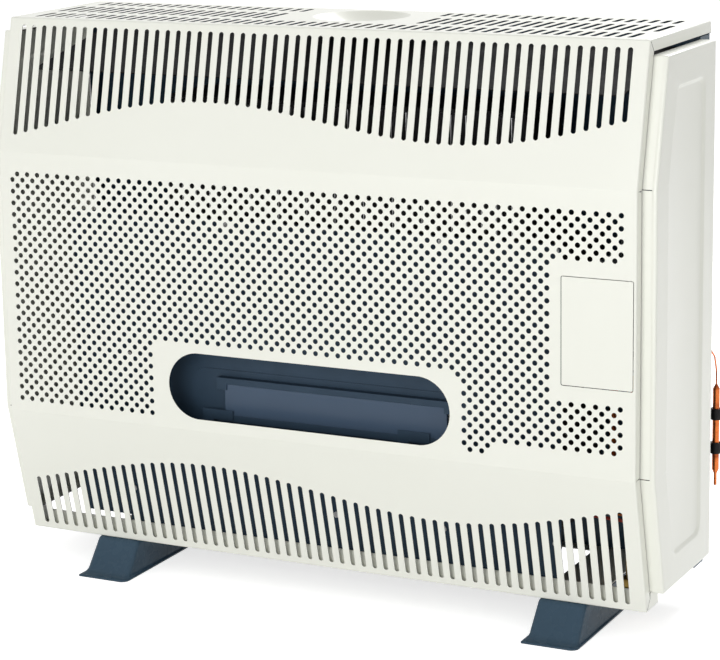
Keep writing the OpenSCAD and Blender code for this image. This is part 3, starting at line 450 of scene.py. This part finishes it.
# Columns, lower end, length and the half width kept free for the dish, from front to rear
TOP_ROWS = ((54, 12.5, 42, 0), (55, 73, 58, 91), (54, 152, 31, 84))
DISH_AT, DISH_R, DISH_DEPTH, DISH_RIM = 167, 57, 18, 3.0  # depth of its middle, then its form
ROUND, HOLE_ROUND = 48, 16  # points round the dish and the window, and round a small hole
PUNCHES = {"Hole diameter": HOLE_D * MM, "Slot width": SLOT_W * MM,
           "Top slot width": TOP_SLOT_W * MM}


def unit(a, b):
    length = math.hypot(b[0] - a[0], b[1] - a[1])
    return ((b[0] - a[0]) / length, (b[1] - a[1]) / length)


def turn_at(a, b, c):
    """The angle by which a path from a to c turns at corner b."""
    u, v = unit(a, b), unit(b, c)
    return math.atan2(u[0] * v[1] - u[1] * v[0], u[0] * v[0] + u[1] * v[1])


def corner_reach(a, b, c, radius):
    """How far a rounding of corner b reaches along its sides."""
    return radius * math.tan(abs(turn_at(a, b, c)) / 2)


def round_corner(a, b, c, radius, steps):
    """Points and outward directions of an arc that rounds corner b."""
    u, turn, reach = unit(a, b), turn_at(a, b, c), corner_reach(a, b, c, radius)
    first = (b[0] - u[0] * reach, b[1] - u[1] * reach)
    aside = radius if turn > 0 else -radius
    centre = (first[0] - u[1] * aside, first[1] + u[0] * aside)
    start = math.atan2(first[1] - centre[1], first[0] - centre[0])
    arc = []
    for k in range(steps + 1):
        angle = start + turn * k / steps
        way = (math.cos(angle), math.sin(angle))
        arc.append(((centre[0] + radius * way[0], centre[1] + radius * way[1]), way))
    return arc


def moved_in(a, b, c, distance):
    """Corner b, after both of its sides have moved inwards by a distance."""
    u, v = unit(a, b), unit(b, c)
    m, n = (u[1], -u[0]), (v[1], -v[0])
    share = distance / (1 + m[0] * n[0] + m[1] * n[1])
    return (b[0] + (m[0] + n[0]) * share, b[1] + (m[1] + n[1]) * share)


def quarter(steps):
    """Sine and cosine at even steps from 0 to 90 degrees."""
    for k in range(steps + 1):
        yield math.sin(math.pi / 2 * k / steps), math.cos(math.pi / 2 * k / steps)


print("a fold reaches", round(corner_reach(*casing_path[1:4], FOLD_R), 2), "mm along the sheet")

# %% [markdown]
# The folds themselves, the soft side edges, the flanges and the bowl of the
# dish have no holes. They are laid out as rows of points in plain code, with
# corners that match the corners of the flat parts, so that the two weld into
# one sheet. The flanges are notched at each fold, as on the real casing,
# where the notch shows as a fine dark seam.

# %% Folds, edges and flanges of the casing
FOLD_STEPS, EDGE_STEPS = 4, 4
TOP_REAR = 5  # corner of the path between the top and the lip behind it


def casing_rows():
    """One row of (outer point, way out, corner) for each line along the sheet."""
    last = len(casing_path) - 1
    rows = []
    for i, corner in enumerate(casing_path):
        if i in (0, last):
            u = unit(*(casing_path[:2] if i == 0 else casing_path[-2:]))
            rows.append((corner, (-u[1], u[0]), i))
        else:
            arc = round_corner(*casing_path[i - 1:i + 2], FOLD_R, FOLD_STEPS)
            rows += [(point, way, i) for point, way in arc]
    return rows


def flange_corner(i):
    """The flange's inner edge at corner i of the casing's path."""
    y, z = casing_path[i]
    if i == TOP_REAR:
        return (y, z - FLANGE)
    if i == 0:
        u = unit(*casing_path[:2])
        return (y + u[1] * FLANGE, z - u[0] * FLANGE)
    return moved_in(*casing_path[i - 1:i + 2], FLANGE)


def casing_folds():
    points, faces, index = [], [], {}

    def point(*p):
        key = tuple(round(c, 3) for c in p)
        if key not in index:
            index[key] = len(points)
            points.append(p)
        return index[key]

    def quad(a, b, c, d):
        ring = list(dict.fromkeys(point(*p) for p in (a, b, c, d)))
        if len(ring) > 2:
            faces.append(ring)

    rows = casing_rows()
    flat = HALF_W - EDGE_R
    for (p, way_p, i), (q, way_q, j) in zip(rows, rows[1:]):
        if i == j or i in (0, TOP_REAR):  # a fold, or a part without holes, right across
            quad((-flat, *p), (-flat, *q), (flat, *q), (flat, *p))
        for side in (-1, 1):
            edge_p, edge_q = ([(side * (flat + EDGE_R * sine),
                                at[0] - way[0] * EDGE_R * (1 - cosine),
                                at[1] - way[1] * EDGE_R * (1 - cosine))
                               for sine, cosine in quarter(EDGE_STEPS)]
                              for at, way in ((p, way_p), (q, way_q)))
            for s in range(EDGE_STEPS):
                quad(edge_p[s], edge_q[s], edge_q[s + 1], edge_p[s + 1])
            if i != j and i < TOP_REAR:  # the flange along a flat part, notched at both ends
                along = unit(casing_path[i], casing_path[j])
                a, b = flange_corner(i), flange_corner(j)
                slit_a, slit_b = NOTCH if i > 0 else 0, NOTCH if j < TOP_REAR else 0
                a = (side * HALF_W, a[0] + along[0] * slit_a, a[1] + along[1] * slit_a)
                b = (side * HALF_W, b[0] - along[0] * slit_b, b[1] - along[1] * slit_b)
                quad(edge_p[-1], a, b, edge_q[-1])
                if i == 0:  # at the bottom the flange reaches up to the side panel
                    quad(a, (a[0], a[1], LOW_FLANGE), (b[0], b[1], LOW_FLANGE), b)
    return points, faces


def stack_faces(loops, count, is_open=lambda level, k: False):
    """Faces between neighbouring loops of a stack, each with the same count of points."""
    faces = []
    for level in range(loops - 1):
        for k in range(count):
            if not is_open(level, k):
                a, b = level * count + k, level * count + (k + 1) % count
                faces.append((a, b, b + count, a + count))
    return faces


def dish_bowl():
    """The bowl pressed into the top: a soft rim that runs into a shallow cap."""
    ball = (DISH_R ** 2 + DISH_DEPTH ** 2) / (2 * DISH_DEPTH)
    slope = math.asin(DISH_R / ball)
    rim_steps, cap_steps = 4, 8
    profile = []
    for k in range(rim_steps + 1):  # the rim turns from flat into the bowl's slope
        a = slope * k / rim_steps
        profile.append((DISH_R + DISH_RIM * math.tan(slope / 2) - DISH_RIM * math.sin(a),
                        -DISH_RIM * (1 - math.cos(a))))
    start = profile[-1][0]
    for k in range(1, cap_steps):
        r = start * (1 - k / cap_steps)
        profile.append((r, ball - DISH_DEPTH - math.sqrt(ball ** 2 - r * r)))
    z_top = casing_path[4][1]
    points = [(r * math.cos(t), DISH_AT + r * math.sin(t), z_top + z)
              for r, z in profile for t in (2 * math.pi * k / ROUND for k in range(ROUND))]
    points.append((0, DISH_AT, z_top - DISH_DEPTH))
    faces = stack_faces(len(profile), ROUND)
    last = (len(profile) - 1) * ROUND
    faces += [(last + k, last + (k + 1) % ROUND, len(points) - 1) for k in range(ROUND)]
    return points, faces, profile[0][0]


fold_points, fold_faces = casing_folds()
dish_points, dish_faces, dish_rim = dish_bowl()
shift = len(fold_points)
casing = sheet_object("casing_sheet", fold_points + dish_points,
                      fold_faces + [tuple(v + shift for v in f) for f in dish_faces])
print(len(casing.data.polygons), "faces of folds, flanges and dish")


# %% [markdown]
# A Geometry Nodes tree adds the punched flat parts. A slot starts as a small
# circle whose upper and lower halves are moved apart, by a length that each
# point of the row knows, so its round ends keep their shape. Drawing the
# holes first and filling the sheet round them gives clean edges, where
# cutting hundreds of holes out of a solid would be slow and leave slivers.

# %% Outlines and holes as Geometry Nodes
class Sheet(Tree):
    """A Geometry Nodes tree with named inputs, for punched sheet metal."""

    def __init__(self, name, sizes):
        group = bpy.data.node_groups.new(name, "GeometryNodeTree")
        super().__init__(group)
        group.interface.new_socket("Geometry", in_out="INPUT", socket_type="NodeSocketGeometry")
        for size, value in sizes.items():
            made = group.interface.new_socket(size, in_out="INPUT", socket_type="NodeSocketFloat")
            made.default_value = value
        group.interface.new_socket("Geometry", in_out="OUTPUT", socket_type="NodeSocketGeometry")
        inputs = group.nodes.new("NodeGroupInput")
        self.sizes = {s.name: Out(self, s) for s in inputs.outputs if s.name}
        position = self.add("GeometryNodeInputPosition")
        self.x, self.y = (self.add("ShaderNodeSeparateXYZ", sockets={"Vector": position}, out=k)
                          for k in (0, 1))

    def move(self, shape, x=0.0, y=0.0):
        offset = self.add("ShaderNodeCombineXYZ", sockets={"X": x, "Y": y})
        return self.add("GeometryNodeSetPosition", sockets={"Geometry": shape, "Offset": offset})

    def note(self, shape, name, value):
        settings = {"data_type": "FLOAT", "domain": "POINT"}
        return self.add("GeometryNodeStoreNamedAttribute", settings,
                        {"Geometry": shape, "Name": name, "Value": value})

    def noted(self, name):
        return self.add("GeometryNodeInputNamedAttribute", {"data_type": "FLOAT"},
                        {"Name": name})

    def circle(self, radius, count):
        return self.add("GeometryNodeCurvePrimitiveCircle", {"mode": "RADIUS"},
                        {"Resolution": count, "Radius": radius})

    def ring(self, radius, count):
        """A circle that starts half a step round, so that no point lies on its middle line."""
        return self.add("GeometryNodeTransform", sockets={
            "Geometry": self.circle(radius, count), "Rotation": (0.0, 0.0, math.pi / count)})

    def frame(self, width, height, x=0.0, y=0.0):
        made = self.add("GeometryNodeCurvePrimitiveQuadrilateral", {"mode": "RECTANGLE"},
                        {"Width": width, "Height": height})
        return self.move(made, x, y)

    def punched(self, points, outline, where=None):
        sockets = {"Points": points, "Instance": outline}
        if where is not None:
            sockets["Selection"] = where
        made = self.add("GeometryNodeInstanceOnPoints", sockets=sockets)
        return self.add("GeometryNodeRealizeInstances", sockets={"Geometry": made})

    def join(self, shapes):
        return self.add("GeometryNodeJoinGeometry", sockets={"Geometry": shapes})

    def row(self, count, step):
        """Points along X, spread evenly about the middle."""
        return self.add("GeometryNodeMeshLine", {"mode": "OFFSET"}, {
            "Count": count, "Start Location": (-(count - 1) / 2 * step, 0.0, 0.0),
            "Offset": (step, 0.0, 0.0)})

    def slots(self, count, low, high, where=None, size="Slot width"):
        """A row of upright slots between two heights, which may depend on X."""
        points = self.row(count, SLOT_STEP * MM)
        width = self.sizes[size]
        points = self.note(points, "reach", (high - low - width) * 0.5)
        points = self.move(points, y=(high + low) * 0.5)
        end = self.ring(width * 0.5, HOLE_ROUND)
        end = self.note(end, "end", (self.y > 0.0) * 2.0 - 1.0)
        made = self.punched(points, end, where)
        return self.move(made, y=self.noted("end") * self.noted("reach"))

    def panel(self, corner, next_corner, outlines, start, end):
        """The flat part between two corners of the casing's path, filled and put in place."""
        length = math.dist(corner, next_corner)
        sheet = self.frame((HALF_W - EDGE_R) * 2 * MM, (length - start - end) * MM,
                           y=(length + start - end) / 2 * MM)
        drawing = self.join([sheet, *outlines])
        filled = self.add("GeometryNodeFillCurve", {"mode": "TRIANGLES"}, {"Curve": drawing})
        along = unit(corner, next_corner)
        return self.add("GeometryNodeTransform", sockets={
            "Geometry": filled, "Translation": (0.0, (corner[0] + FRONT) * MM, corner[1] * MM),
            "Rotation": (math.atan2(along[1], along[0]), 0.0, 0.0)})


# %% [markdown]
# The rules of the casing. The front's two rows of slots end on one side in a
# straight line and on the other in a slanted wave. The round holes stand on
# every other place of a grid, and the grid leaves out the places round the
# window and the door. In the top, two of the three rows of slots stop beside
# the dish. A small rule for each is easier to change than a list of holes.

# %% The punched casing
# Places without holes: first and last row, first and last column of the grid
HOLE_GAPS = {"door": (10, 31, 44, 55), "window": (0, 12, -27, 27),
             "right of the window": (0, 10, 28, 28), "low on the right": (0, 1, 34, 55)}


def wave(sheet, base, tilt, height, shift, length):
    """A slanted wave over X, in metres."""
    angle = (sheet.x - shift * MM) * (2 * math.pi / (length * MM))
    return base * MM + sheet.x * tilt - height * MM * angle.math("SINE")


def hole_rule(sheet):
    """1 where the grid has a hole, with rows counted from 0 and column 0 at the middle."""
    column, row = sheet.x / (HOLE_STEP * MM) + 0.5, sheet.y / (HOLE_STEP * MM)
    rule = ((column - row + 0.5) % 2.0) < 1.0
    for low, high, left, right in HOLE_GAPS.values():
        inside = (row > low - 0.5) * (row < high + 0.5)
        inside = inside * (column > left - 0.5) * (column < right + 0.5)
        rule = rule * (1.0 - inside)
    return rule


def middle_outlines(sheet):
    """The round holes, the window and the door's opening."""
    step = HOLE_STEP * MM
    grid = sheet.add("GeometryNodeMeshGrid", sockets={
        "Size X": (HOLE_COLUMNS - 1) * step, "Size Y": (HOLE_ROWS - 1) * step,
        "Vertices X": HOLE_COLUMNS, "Vertices Y": HOLE_ROWS})
    grid = sheet.move(grid, y=(HOLE_ROWS - 1) / 2 * step)
    hole = sheet.ring(sheet.sizes["Hole diameter"] * 0.5, HOLE_ROUND)
    holes = sheet.move(sheet.punched(grid, hole, hole_rule(sheet)), y=FIRST_ROW * MM)
    x, up, length, width = (v * MM for v in WINDOW)
    window = sheet.ring(width / 2, ROUND)
    window = sheet.move(window, ((sheet.x > 0.0) * 2.0 - 1.0) * ((length - width) / 2))
    window = sheet.move(window, x, up)
    left, low, right, high = (v * MM for v in DOOR)
    gap = 2 * DOOR_GAP * MM
    door = sheet.frame(right - left + gap, high - low + gap, (left + right) / 2, (low + high) / 2)
    door = sheet.add("GeometryNodeFilletCurve", {"mode": "POLY"}, {
        "Curve": door, "Count": 3, "Radius": DOOR_CORNER * MM})
    return [holes, window, door]


def top_outlines(sheet):
    """Three rows of slots and the edge of the dish."""
    beside = abs(sheet.x)
    rows = [sheet.slots(count, low * MM, (low + length) * MM, beside > free * MM, "Top slot width")
            for count, low, length, free in TOP_ROWS]
    dish = sheet.move(sheet.circle(dish_rim * MM, ROUND), y=(DISH_AT - casing_path[4][0]) * MM)
    return [*rows, dish]


def casing_tree():
    sheet = Sheet("punched_casing", PUNCHES)
    length = [math.dist(a, b) for a, b in zip(casing_path, casing_path[1:])]
    low_end, top_end = (length[k] * SLOT_END / (casing_path[k + 1][1] - casing_path[k][1])
                        for k in (1, 3))
    outlines = {
        1: [sheet.slots(SLOT_COLUMNS, low_end * MM, length[1] * MM - wave(sheet, *LOW_WAVE))],
        2: middle_outlines(sheet),
        3: [sheet.slots(SLOT_COLUMNS, wave(sheet, *HIGH_WAVE), (length[3] - top_end) * MM)],
        4: top_outlines(sheet)}
    parts = [sheet.sizes["Geometry"]]
    for k, drawn in outlines.items():
        start, end = (corner_reach(*casing_path[c - 1:c + 2], FOLD_R) for c in (k, k + 1))
        parts.append(sheet.panel(casing_path[k], casing_path[k + 1], drawn, start, end))
    whole = sheet.add("GeometryNodeRealizeInstances", sockets={"Geometry": sheet.join(parts)})
    whole = sheet.add("GeometryNodeMergeByDistance", sockets={
        "Geometry": whole, "Distance": 0.02 * MM})
    whole = sheet.add("GeometryNodeSetMaterial", sockets={
        "Geometry": whole, "Material": finishes["cream_paint"]})
    sheet.add("NodeGroupOutput", sockets={0: whole})
    print(len(sheet.node_tree.nodes), "nodes punch the casing")
    return sheet


def use_tree(piece, sheet, sizes):
    modifier = piece.modifiers.new("sheet", "NODES")
    modifier.node_group = sheet.node_tree
    for item in sheet.node_tree.interface.items_tree:
        if item.in_out == "INPUT" and item.name in sizes:
            modifier[item.identifier] = sizes[item.name]
    settle(piece)


def face_outwards(mesh, outside):
    """Turns all faces the same way, the one nearest to a point outside towards it."""
    bm = bmesh.new()
    bm.from_mesh(mesh)
    bmesh.ops.remove_doubles(bm, verts=bm.verts, dist=0.01 * MM)
    bmesh.ops.recalc_face_normals(bm, faces=bm.faces)
    nearest = min(bm.faces, key=lambda f: (f.calc_center_median() - outside).length)
    if nearest.normal.dot(outside - nearest.calc_center_median()) < 0:
        bmesh.ops.reverse_faces(bm, faces=bm.faces)
    bm.to_mesh(mesh)
    bm.free()


def thicken(piece, thickness):
    """Gives a sheet its wall, and marks the faces of its thin edges in an attribute that the cream
    paint reads to paint shade on them.
    """
    piece.data.materials.clear()
    for _ in range(2):
        piece.data.materials.append(finishes["cream_paint"])
    for face in piece.data.polygons:
        face.material_index = 0
    solid = piece.modifiers.new("wall", "SOLIDIFY")
    solid.thickness, solid.offset, solid.use_even_offset = thickness * MM, -1, True
    solid.material_offset_rim = 1
    settle(piece)
    # these edge faces get painted shade in the cream paint
    is_edge_shade = [float(face.material_index == 1) for face in piece.data.polygons]
    piece.data.attributes.new("cut_edge", "FLOAT", "FACE").data.foreach_set("value", is_edge_shade)
    for face in piece.data.polygons:
        face.material_index = 0


def smooth_small(mesh, limit_mm):
    """Smooth shading on the narrow faces of bends and rims, and flat shading on the rest."""
    level, slight, sharp, no_angle = 0.002, 0.02, 0.5, 3  # angles between faces, in radians
    bm = bmesh.new()
    bm.from_mesh(mesh)
    for face in bm.faces:
        turns = [face.normal.angle(other.normal, no_angle)
                 for edge in face.edges for other in edge.link_faces if other != face]
        in_flat = len(face.verts) == 3 and min(turns, default=no_angle) < level
        is_narrow = min(edge.calc_length() for edge in face.edges) < limit_mm * MM
        face.smooth = not in_flat and is_narrow and any(slight < turn < sharp for turn in turns)
    bm.to_mesh(mesh)
    bm.free()


NARROW = 9  # mm, wider than any face of a bend
use_tree(casing, casing_tree(), PUNCHES)
face_outwards(casing.data, Vector((0.25, -2, 0.5)))
thicken(casing, CASING_SHEET)
smooth_small(casing.data, NARROW)
stand_for(casing, "front_casing")

# %% [markdown]
# A side panel is a shallow tray of sheet steel. Its rim is folded inwards all
# round, and a field is pressed into its face to stiffen it. Everything
# follows one outline, so the panel is built as a stack of loops. Each loop is
# the outline moved inwards by some distance, with its corners rounded, at its
# own place along X, and faces join neighbouring loops. Where the front rim
# crosses a fold it is slit, as on the real panel.

# %% Side panels
SIDE_SHEET = 1.2
SIDE_IN, SIDE_OUT = 397.8, 415.6
SIDE_LOW, SIDE_TOP, SIDE_REAR = 61, 651.5, 203
FOLD_LOW, FOLD_HIGH = casing_path[2][1], casing_path[3][1]
RIM_FRONT = 14.7  # how far the front rim stands behind the flat middle of the front
RIM_CORNERS = (1.6, 1.6, 4, 4, 1.6, 1.6)
SLIT = 12  # depth of the slits and of the notch in the rim
SOFT_R, LEAST_R = 2.4, 0.4  # soft edge between a panel's face and its rim
FIELD_MARGIN, FIELD_FRONT, FIELD_CORNER = 34, 36, 14
FIELD_DEPTH, FIELD_SLOPE, FIELD_STEPS = 3, 6, 6
ARC_STEPS = 4
CAPILLARY_NOTCH = (312, 288)  # upper and lower end


def rim_line(z, back):
    """Depth of a line that runs along the casing's front, at a height."""
    (d_low, z_low), (d_top, z_top) = casing_path[1], casing_path[4]
    return back + max(0, (z - FOLD_HIGH) * d_top / (z_top - FOLD_HIGH),
                      (FOLD_LOW - z) * d_low / (FOLD_LOW - z_low))


def tray_outline(low, top, rear, back):
    return [(rear, low), (rim_line(low, back), low), (back, FOLD_LOW), (back, FOLD_HIGH),
            (rim_line(top, back), top), (rear, top)]


def round_loop(outline, inset, radii, cuts=()):
    """A closed outline moved inwards, with round corners and extra points on its last side."""
    def corners(path):
        return zip(path[-1:] + path[:-1], path, path[1:] + path[:1])

    path = [moved_in(*corner, inset) for corner in corners(outline)]
    loop = []
    for corner, radius in zip(corners(path), radii):
        loop += [point for point, _ in round_corner(*corner, radius, ARC_STEPS)]
    return loop + [(path[-1][0], z) for z in cuts]


def side_loops(cuts):
    """Loops of (place along X, points) from the rim's inner edge to the middle of the face."""
    rim = tray_outline(SIDE_LOW, SIDE_TOP, SIDE_REAR, RIM_FRONT)
    loops = [(x, round_loop(rim, 0, RIM_CORNERS, cuts)) for x in (SIDE_IN, SIDE_IN + SLIT)]
    for sine, cosine in quarter(ARC_STEPS):
        inset = SOFT_R * (1 - cosine)
        radii = [max(r - inset, LEAST_R) for r in RIM_CORNERS]
        loops.append((SIDE_OUT - SOFT_R * (1 - sine), round_loop(rim, inset, radii, cuts)))
    field = tray_outline(SIDE_LOW + FIELD_MARGIN, SIDE_TOP - FIELD_MARGIN,
                         SIDE_REAR - FIELD_MARGIN, RIM_FRONT + FIELD_FRONT)
    for k in range(FIELD_STEPS + 1):
        t = k / FIELD_STEPS
        loops.append((SIDE_OUT - FIELD_DEPTH * (1 - math.cos(math.pi * t)) / 2,
                      round_loop(field, FIELD_SLOPE * t, [FIELD_CORNER - 2 * t] * 6, cuts)))
    return loops


def loop_stack(name, loops, is_open=lambda level, k: False):
    """A sheet through a stack of loops, with one last face across the innermost."""
    count = len(loops[0])
    faces = stack_faces(len(loops), count, is_open)
    faces.append(tuple(range((len(loops) - 1) * count, len(loops) * count)))
    return sheet_object(name, [point for loop in loops for point in loop], faces)


def side_panel(node, side, cuts=()):
    loops = [[(side * x, d, z) for d, z in loop] for x, loop in side_loops(cuts)]
    gaps = [c * (ARC_STEPS + 1) + k for c in (2, 3) for k in range(ARC_STEPS)]  # at the folds
    if cuts:
        gaps.append(len(loops[0]) - 2)
    panel = loop_stack(node + "_sheet", loops, lambda level, k: level == 0 and k in gaps)
    face_outwards(panel.data, Vector((side * 2, 0, 0.35)))
    thicken(panel, SIDE_SHEET)
    smooth_small(panel.data, NARROW)
    stand_for(panel, node)


side_panel("side_panel_left", -1)
side_panel("side_panel_right", 1, CAPILLARY_NOTCH)  # here the sensor's capillary goes in

# %% [markdown]
# A foot is a pan, deep drawn from 2 mm steel and stood upside down. The
# drawing leaves a round edge everywhere: round the top, down the corners and
# where the wall turns out into the lip on the floor. It is again a stack of
# loops, from the lip's edge inwards and up. Near the floor the loops follow
# a quarter circle, which makes the round hollow above the lip.

# %% Feet
FOOT_H = 39.7
FOOT_TOP = (28.5, 37, 193)  # half its width, front and rear, at the top
FOOT_LOW = (30, 6, 205)  # and at the floor
FOOT_LIP = (33, -3)  # half the lip's width, and its front edge
FOOT_SHEET = 2
TOP_R, HOLLOW_R = 3.2, 5  # round edge of the top, and round hollow above the lip
WALL_HEIGHTS = (16, 26)
WALL_CORNERS = (6, 6, 6, 6)
LIP_CORNERS = (7, 9, 1.2, 7)
HOLLOW_SHARE = 0.75  # how far the hollow spreads towards the lip's edge
FOOT_NARROW = 11  # mm, wider than the bends of a foot


def foot_loop(x, z, inset=0.0, spread=0.0, corners=WALL_CORNERS):
    """A round rectangle at a height: spread is 0 on the wall and 1 at the edge of the lip."""
    down = 1 - z / FOOT_H
    half, front, rear = (top + (low - top) * down for top, low in zip(FOOT_TOP, FOOT_LOW))
    half += (FOOT_LIP[0] - half) * spread - inset
    front += (FOOT_LIP[1] - front) * spread + inset
    rear -= inset
    path = [(x + half, rear), (x + half, front), (x - half, front), (x - half, rear)]
    return [(px, py, z) for px, py in round_loop(path, 0, corners)]


def foot(node, x):
    loops = [foot_loop(x, FOOT_SHEET, 0, 1, LIP_CORNERS)]
    for sine, cosine in quarter(ARC_STEPS):  # the hollow, from the lip inwards and up
        t = 1 - sine
        loops.append(foot_loop(x, FOOT_SHEET + HOLLOW_R * (1 - cosine), 0, HOLLOW_SHARE * t,
                               (7, 6 + 2 * t, 6 - 3 * t, 7)))
    loops += [foot_loop(x, z) for z in WALL_HEIGHTS]
    for sine, cosine in quarter(ARC_STEPS):  # the round edge of the top
        loops.append(foot_loop(x, FOOT_H - TOP_R * (1 - sine), TOP_R * (1 - cosine)))
    made = loop_stack(node + "_pan", loops)
    face_outwards(made.data, Vector((x * MM, -2, 0.02)))
    thicken(made, FOOT_SHEET)
    for corner in made.data.vertices:  # the lip's underside is pressed flat
        corner.co.z = max(corner.co.z, 0)
    smooth_small(made.data, FOOT_NARROW)
    stand_for(made, node)


foot("foot_left", -277)
foot("foot_right", 300)

# %% [markdown]
# Many of the smaller CAD pieces already have their final shape, apart from
# their knife sharp edges. A real edge catches a thin line of light, so a copy
# of each gets its loose triangles merged and a small bevel, with weighted
# normals that keep the flat faces flat.

# %% Soft edges for the CAD's own shapes
def soften(name, width_mm):
    node = frame["nodes"][name]
    mesh = node.data.copy()
    mesh.transform(node.matrix_world)
    bm = bmesh.new()
    bm.from_mesh(mesh)
    bmesh.ops.remove_doubles(bm, verts=bm.verts, dist=0.002 * MM)
    bmesh.ops.dissolve_limit(bm, angle_limit=math.radians(1), verts=bm.verts, edges=bm.edges)
    bm.to_mesh(mesh)
    bm.free()
    for face in mesh.polygons:
        face.use_smooth = True
    soft = new_object(name + "_soft", mesh)
    bevel = soft.modifiers.new("edge", "BEVEL")
    bevel.width, bevel.segments = width_mm * MM, 2
    bevel.limit_method, bevel.angle_limit = "ANGLE", math.radians(35)
    bevel.use_clamp_overlap, bevel.harden_normals = True, False
    weighted = soft.modifiers.new("flat faces", "WEIGHTED_NORMAL")
    weighted.keep_sharp, weighted.weight = True, 100
    settle(soft)
    stand_for(soft, name)


SOFT_EDGES = {  # width of each piece's bevels, in mm
    "control_door": 0.5, "control_knob": 0.8, "pilot_button": 0.6, "igniter_button": 0.6,
    "glass_bar_top": 0.3, "glass_bar_bottom": 0.3, "glass_clips": 0.3, "chamber_front_plate": 0.5,
    "gas_valve": 0.8, "valve_bracket": 0.4, "control_bracket": 0.4, "piezo_igniter": 0.5,
    "bulb_clips": 0.5, "sensor_bulb": 0.4, "wall_brackets": 0.6, "back_panel": 0.4,
}
for name, width in SOFT_EDGES.items():
    soften(name, width)

# %% [markdown]
# The other pieces, such as pipes, screws, the chamber and the flue, are
# hidden or already round where the real ones are round. They keep the CAD's
# surface and only get their finish. A loop over all CAD pieces is enough,
# since those that have been replaced are hidden.

# %% The pieces that stay as the CAD made them
for node in frame["nodes"].values():
    paint(node, slot_of[node.name])
print(len(frame["nodes"]), "CAD pieces have their finish")

# %% [markdown]
# The studio is a white floor in a white room. The room is fully bright for
# the camera, for reflections and through glass, and dimmer for the light that
# falls on the heater. The floor glows a little for the same rays, so it comes
# out white and still keeps the heater's shadow. A large soft lamp stands low
# in front and lights the whole front evenly, from a place whose mirror image
# in the glossy paint the camera doesn't see. A second one behind the heater
# lights the top at a flat angle, which brings out the bowl of the dish. A
# weak one at the side keeps the pressed field of the side panel readable.

# %% Floor, world and lamps
FLOOR_GLOW = 0.66  # brightness that the floor adds for direct rays
ROOM_LIGHT = 0.5  # share of the room's brightness that falls on things


def seen_directly(tree):
    """1 for rays from the camera, from a shine and through glass, and 0 for light."""
    rays = tree.node_tree.nodes.new("ShaderNodeLightPath")
    camera_ray, shine, through = (Out(tree, rays.outputs[f"Is {kind} Ray"])
                                  for kind in ("Camera", "Glossy", "Transmission"))
    return camera_ray.math("MAXIMUM", shine).math("MAXIMUM", through)


def studio():
    floor_mesh = bpy.data.meshes.new("floor")
    floor_mesh.from_pydata([(-8, -8, 0), (8, -8, 0), (8, 8, 0), (-8, 8, 0)], [], [(0, 1, 2, 3)])
    floor = new_object("floor", floor_mesh)
    look = Finish("studio_floor")
    look.set(Base_Color=(0.9, 0.9, 0.9, 1), Roughness=0.8, Specular_IOR_Level=0.0,
             Emission_Color=(1, 1, 1, 1), Emission_Strength=seen_directly(look) * FLOOR_GLOW)
    floor.data.materials.append(look.material)
    world = bpy.data.worlds.new("studio")
    bpy.context.scene.world = world
    world.use_nodes = True
    room, sky = Tree(world.node_tree), world.node_tree.nodes["Background"]
    sky.inputs["Color"].default_value = (1, 1, 1, 1)
    room.plug(sky, "Strength", seen_directly(room) * (1 - ROOM_LIGHT) + ROOM_LIGHT)


def lamp(name, place, target, size, watts):
    light = bpy.data.lights.new(name, "AREA")
    light.shape, light.size, light.energy = "SQUARE", size, watts
    made = bpy.data.objects.new(name, light)
    bpy.context.scene.collection.objects.link(made)
    made.location = place
    made.rotation_mode = "QUATERNION"
    made.rotation_quaternion = (Vector(target) - Vector(place)).to_track_quat("-Z", "Y")
    print(name, watts, "W")


studio()
lamp("key_lamp", (0.15, -3.2, 0.85), (0, 0, 0.35), 1.8, 42)
lamp("side_lamp", (2.6, -1.0, 1.6), (0, 0, 0.35), 1.4, 2)
lamp("top_lamp", (0.2, 2.2, 2.2), (0, 0, 0.6), 1.2, 50)
bpy.context.scene.view_settings.view_transform = "Standard"
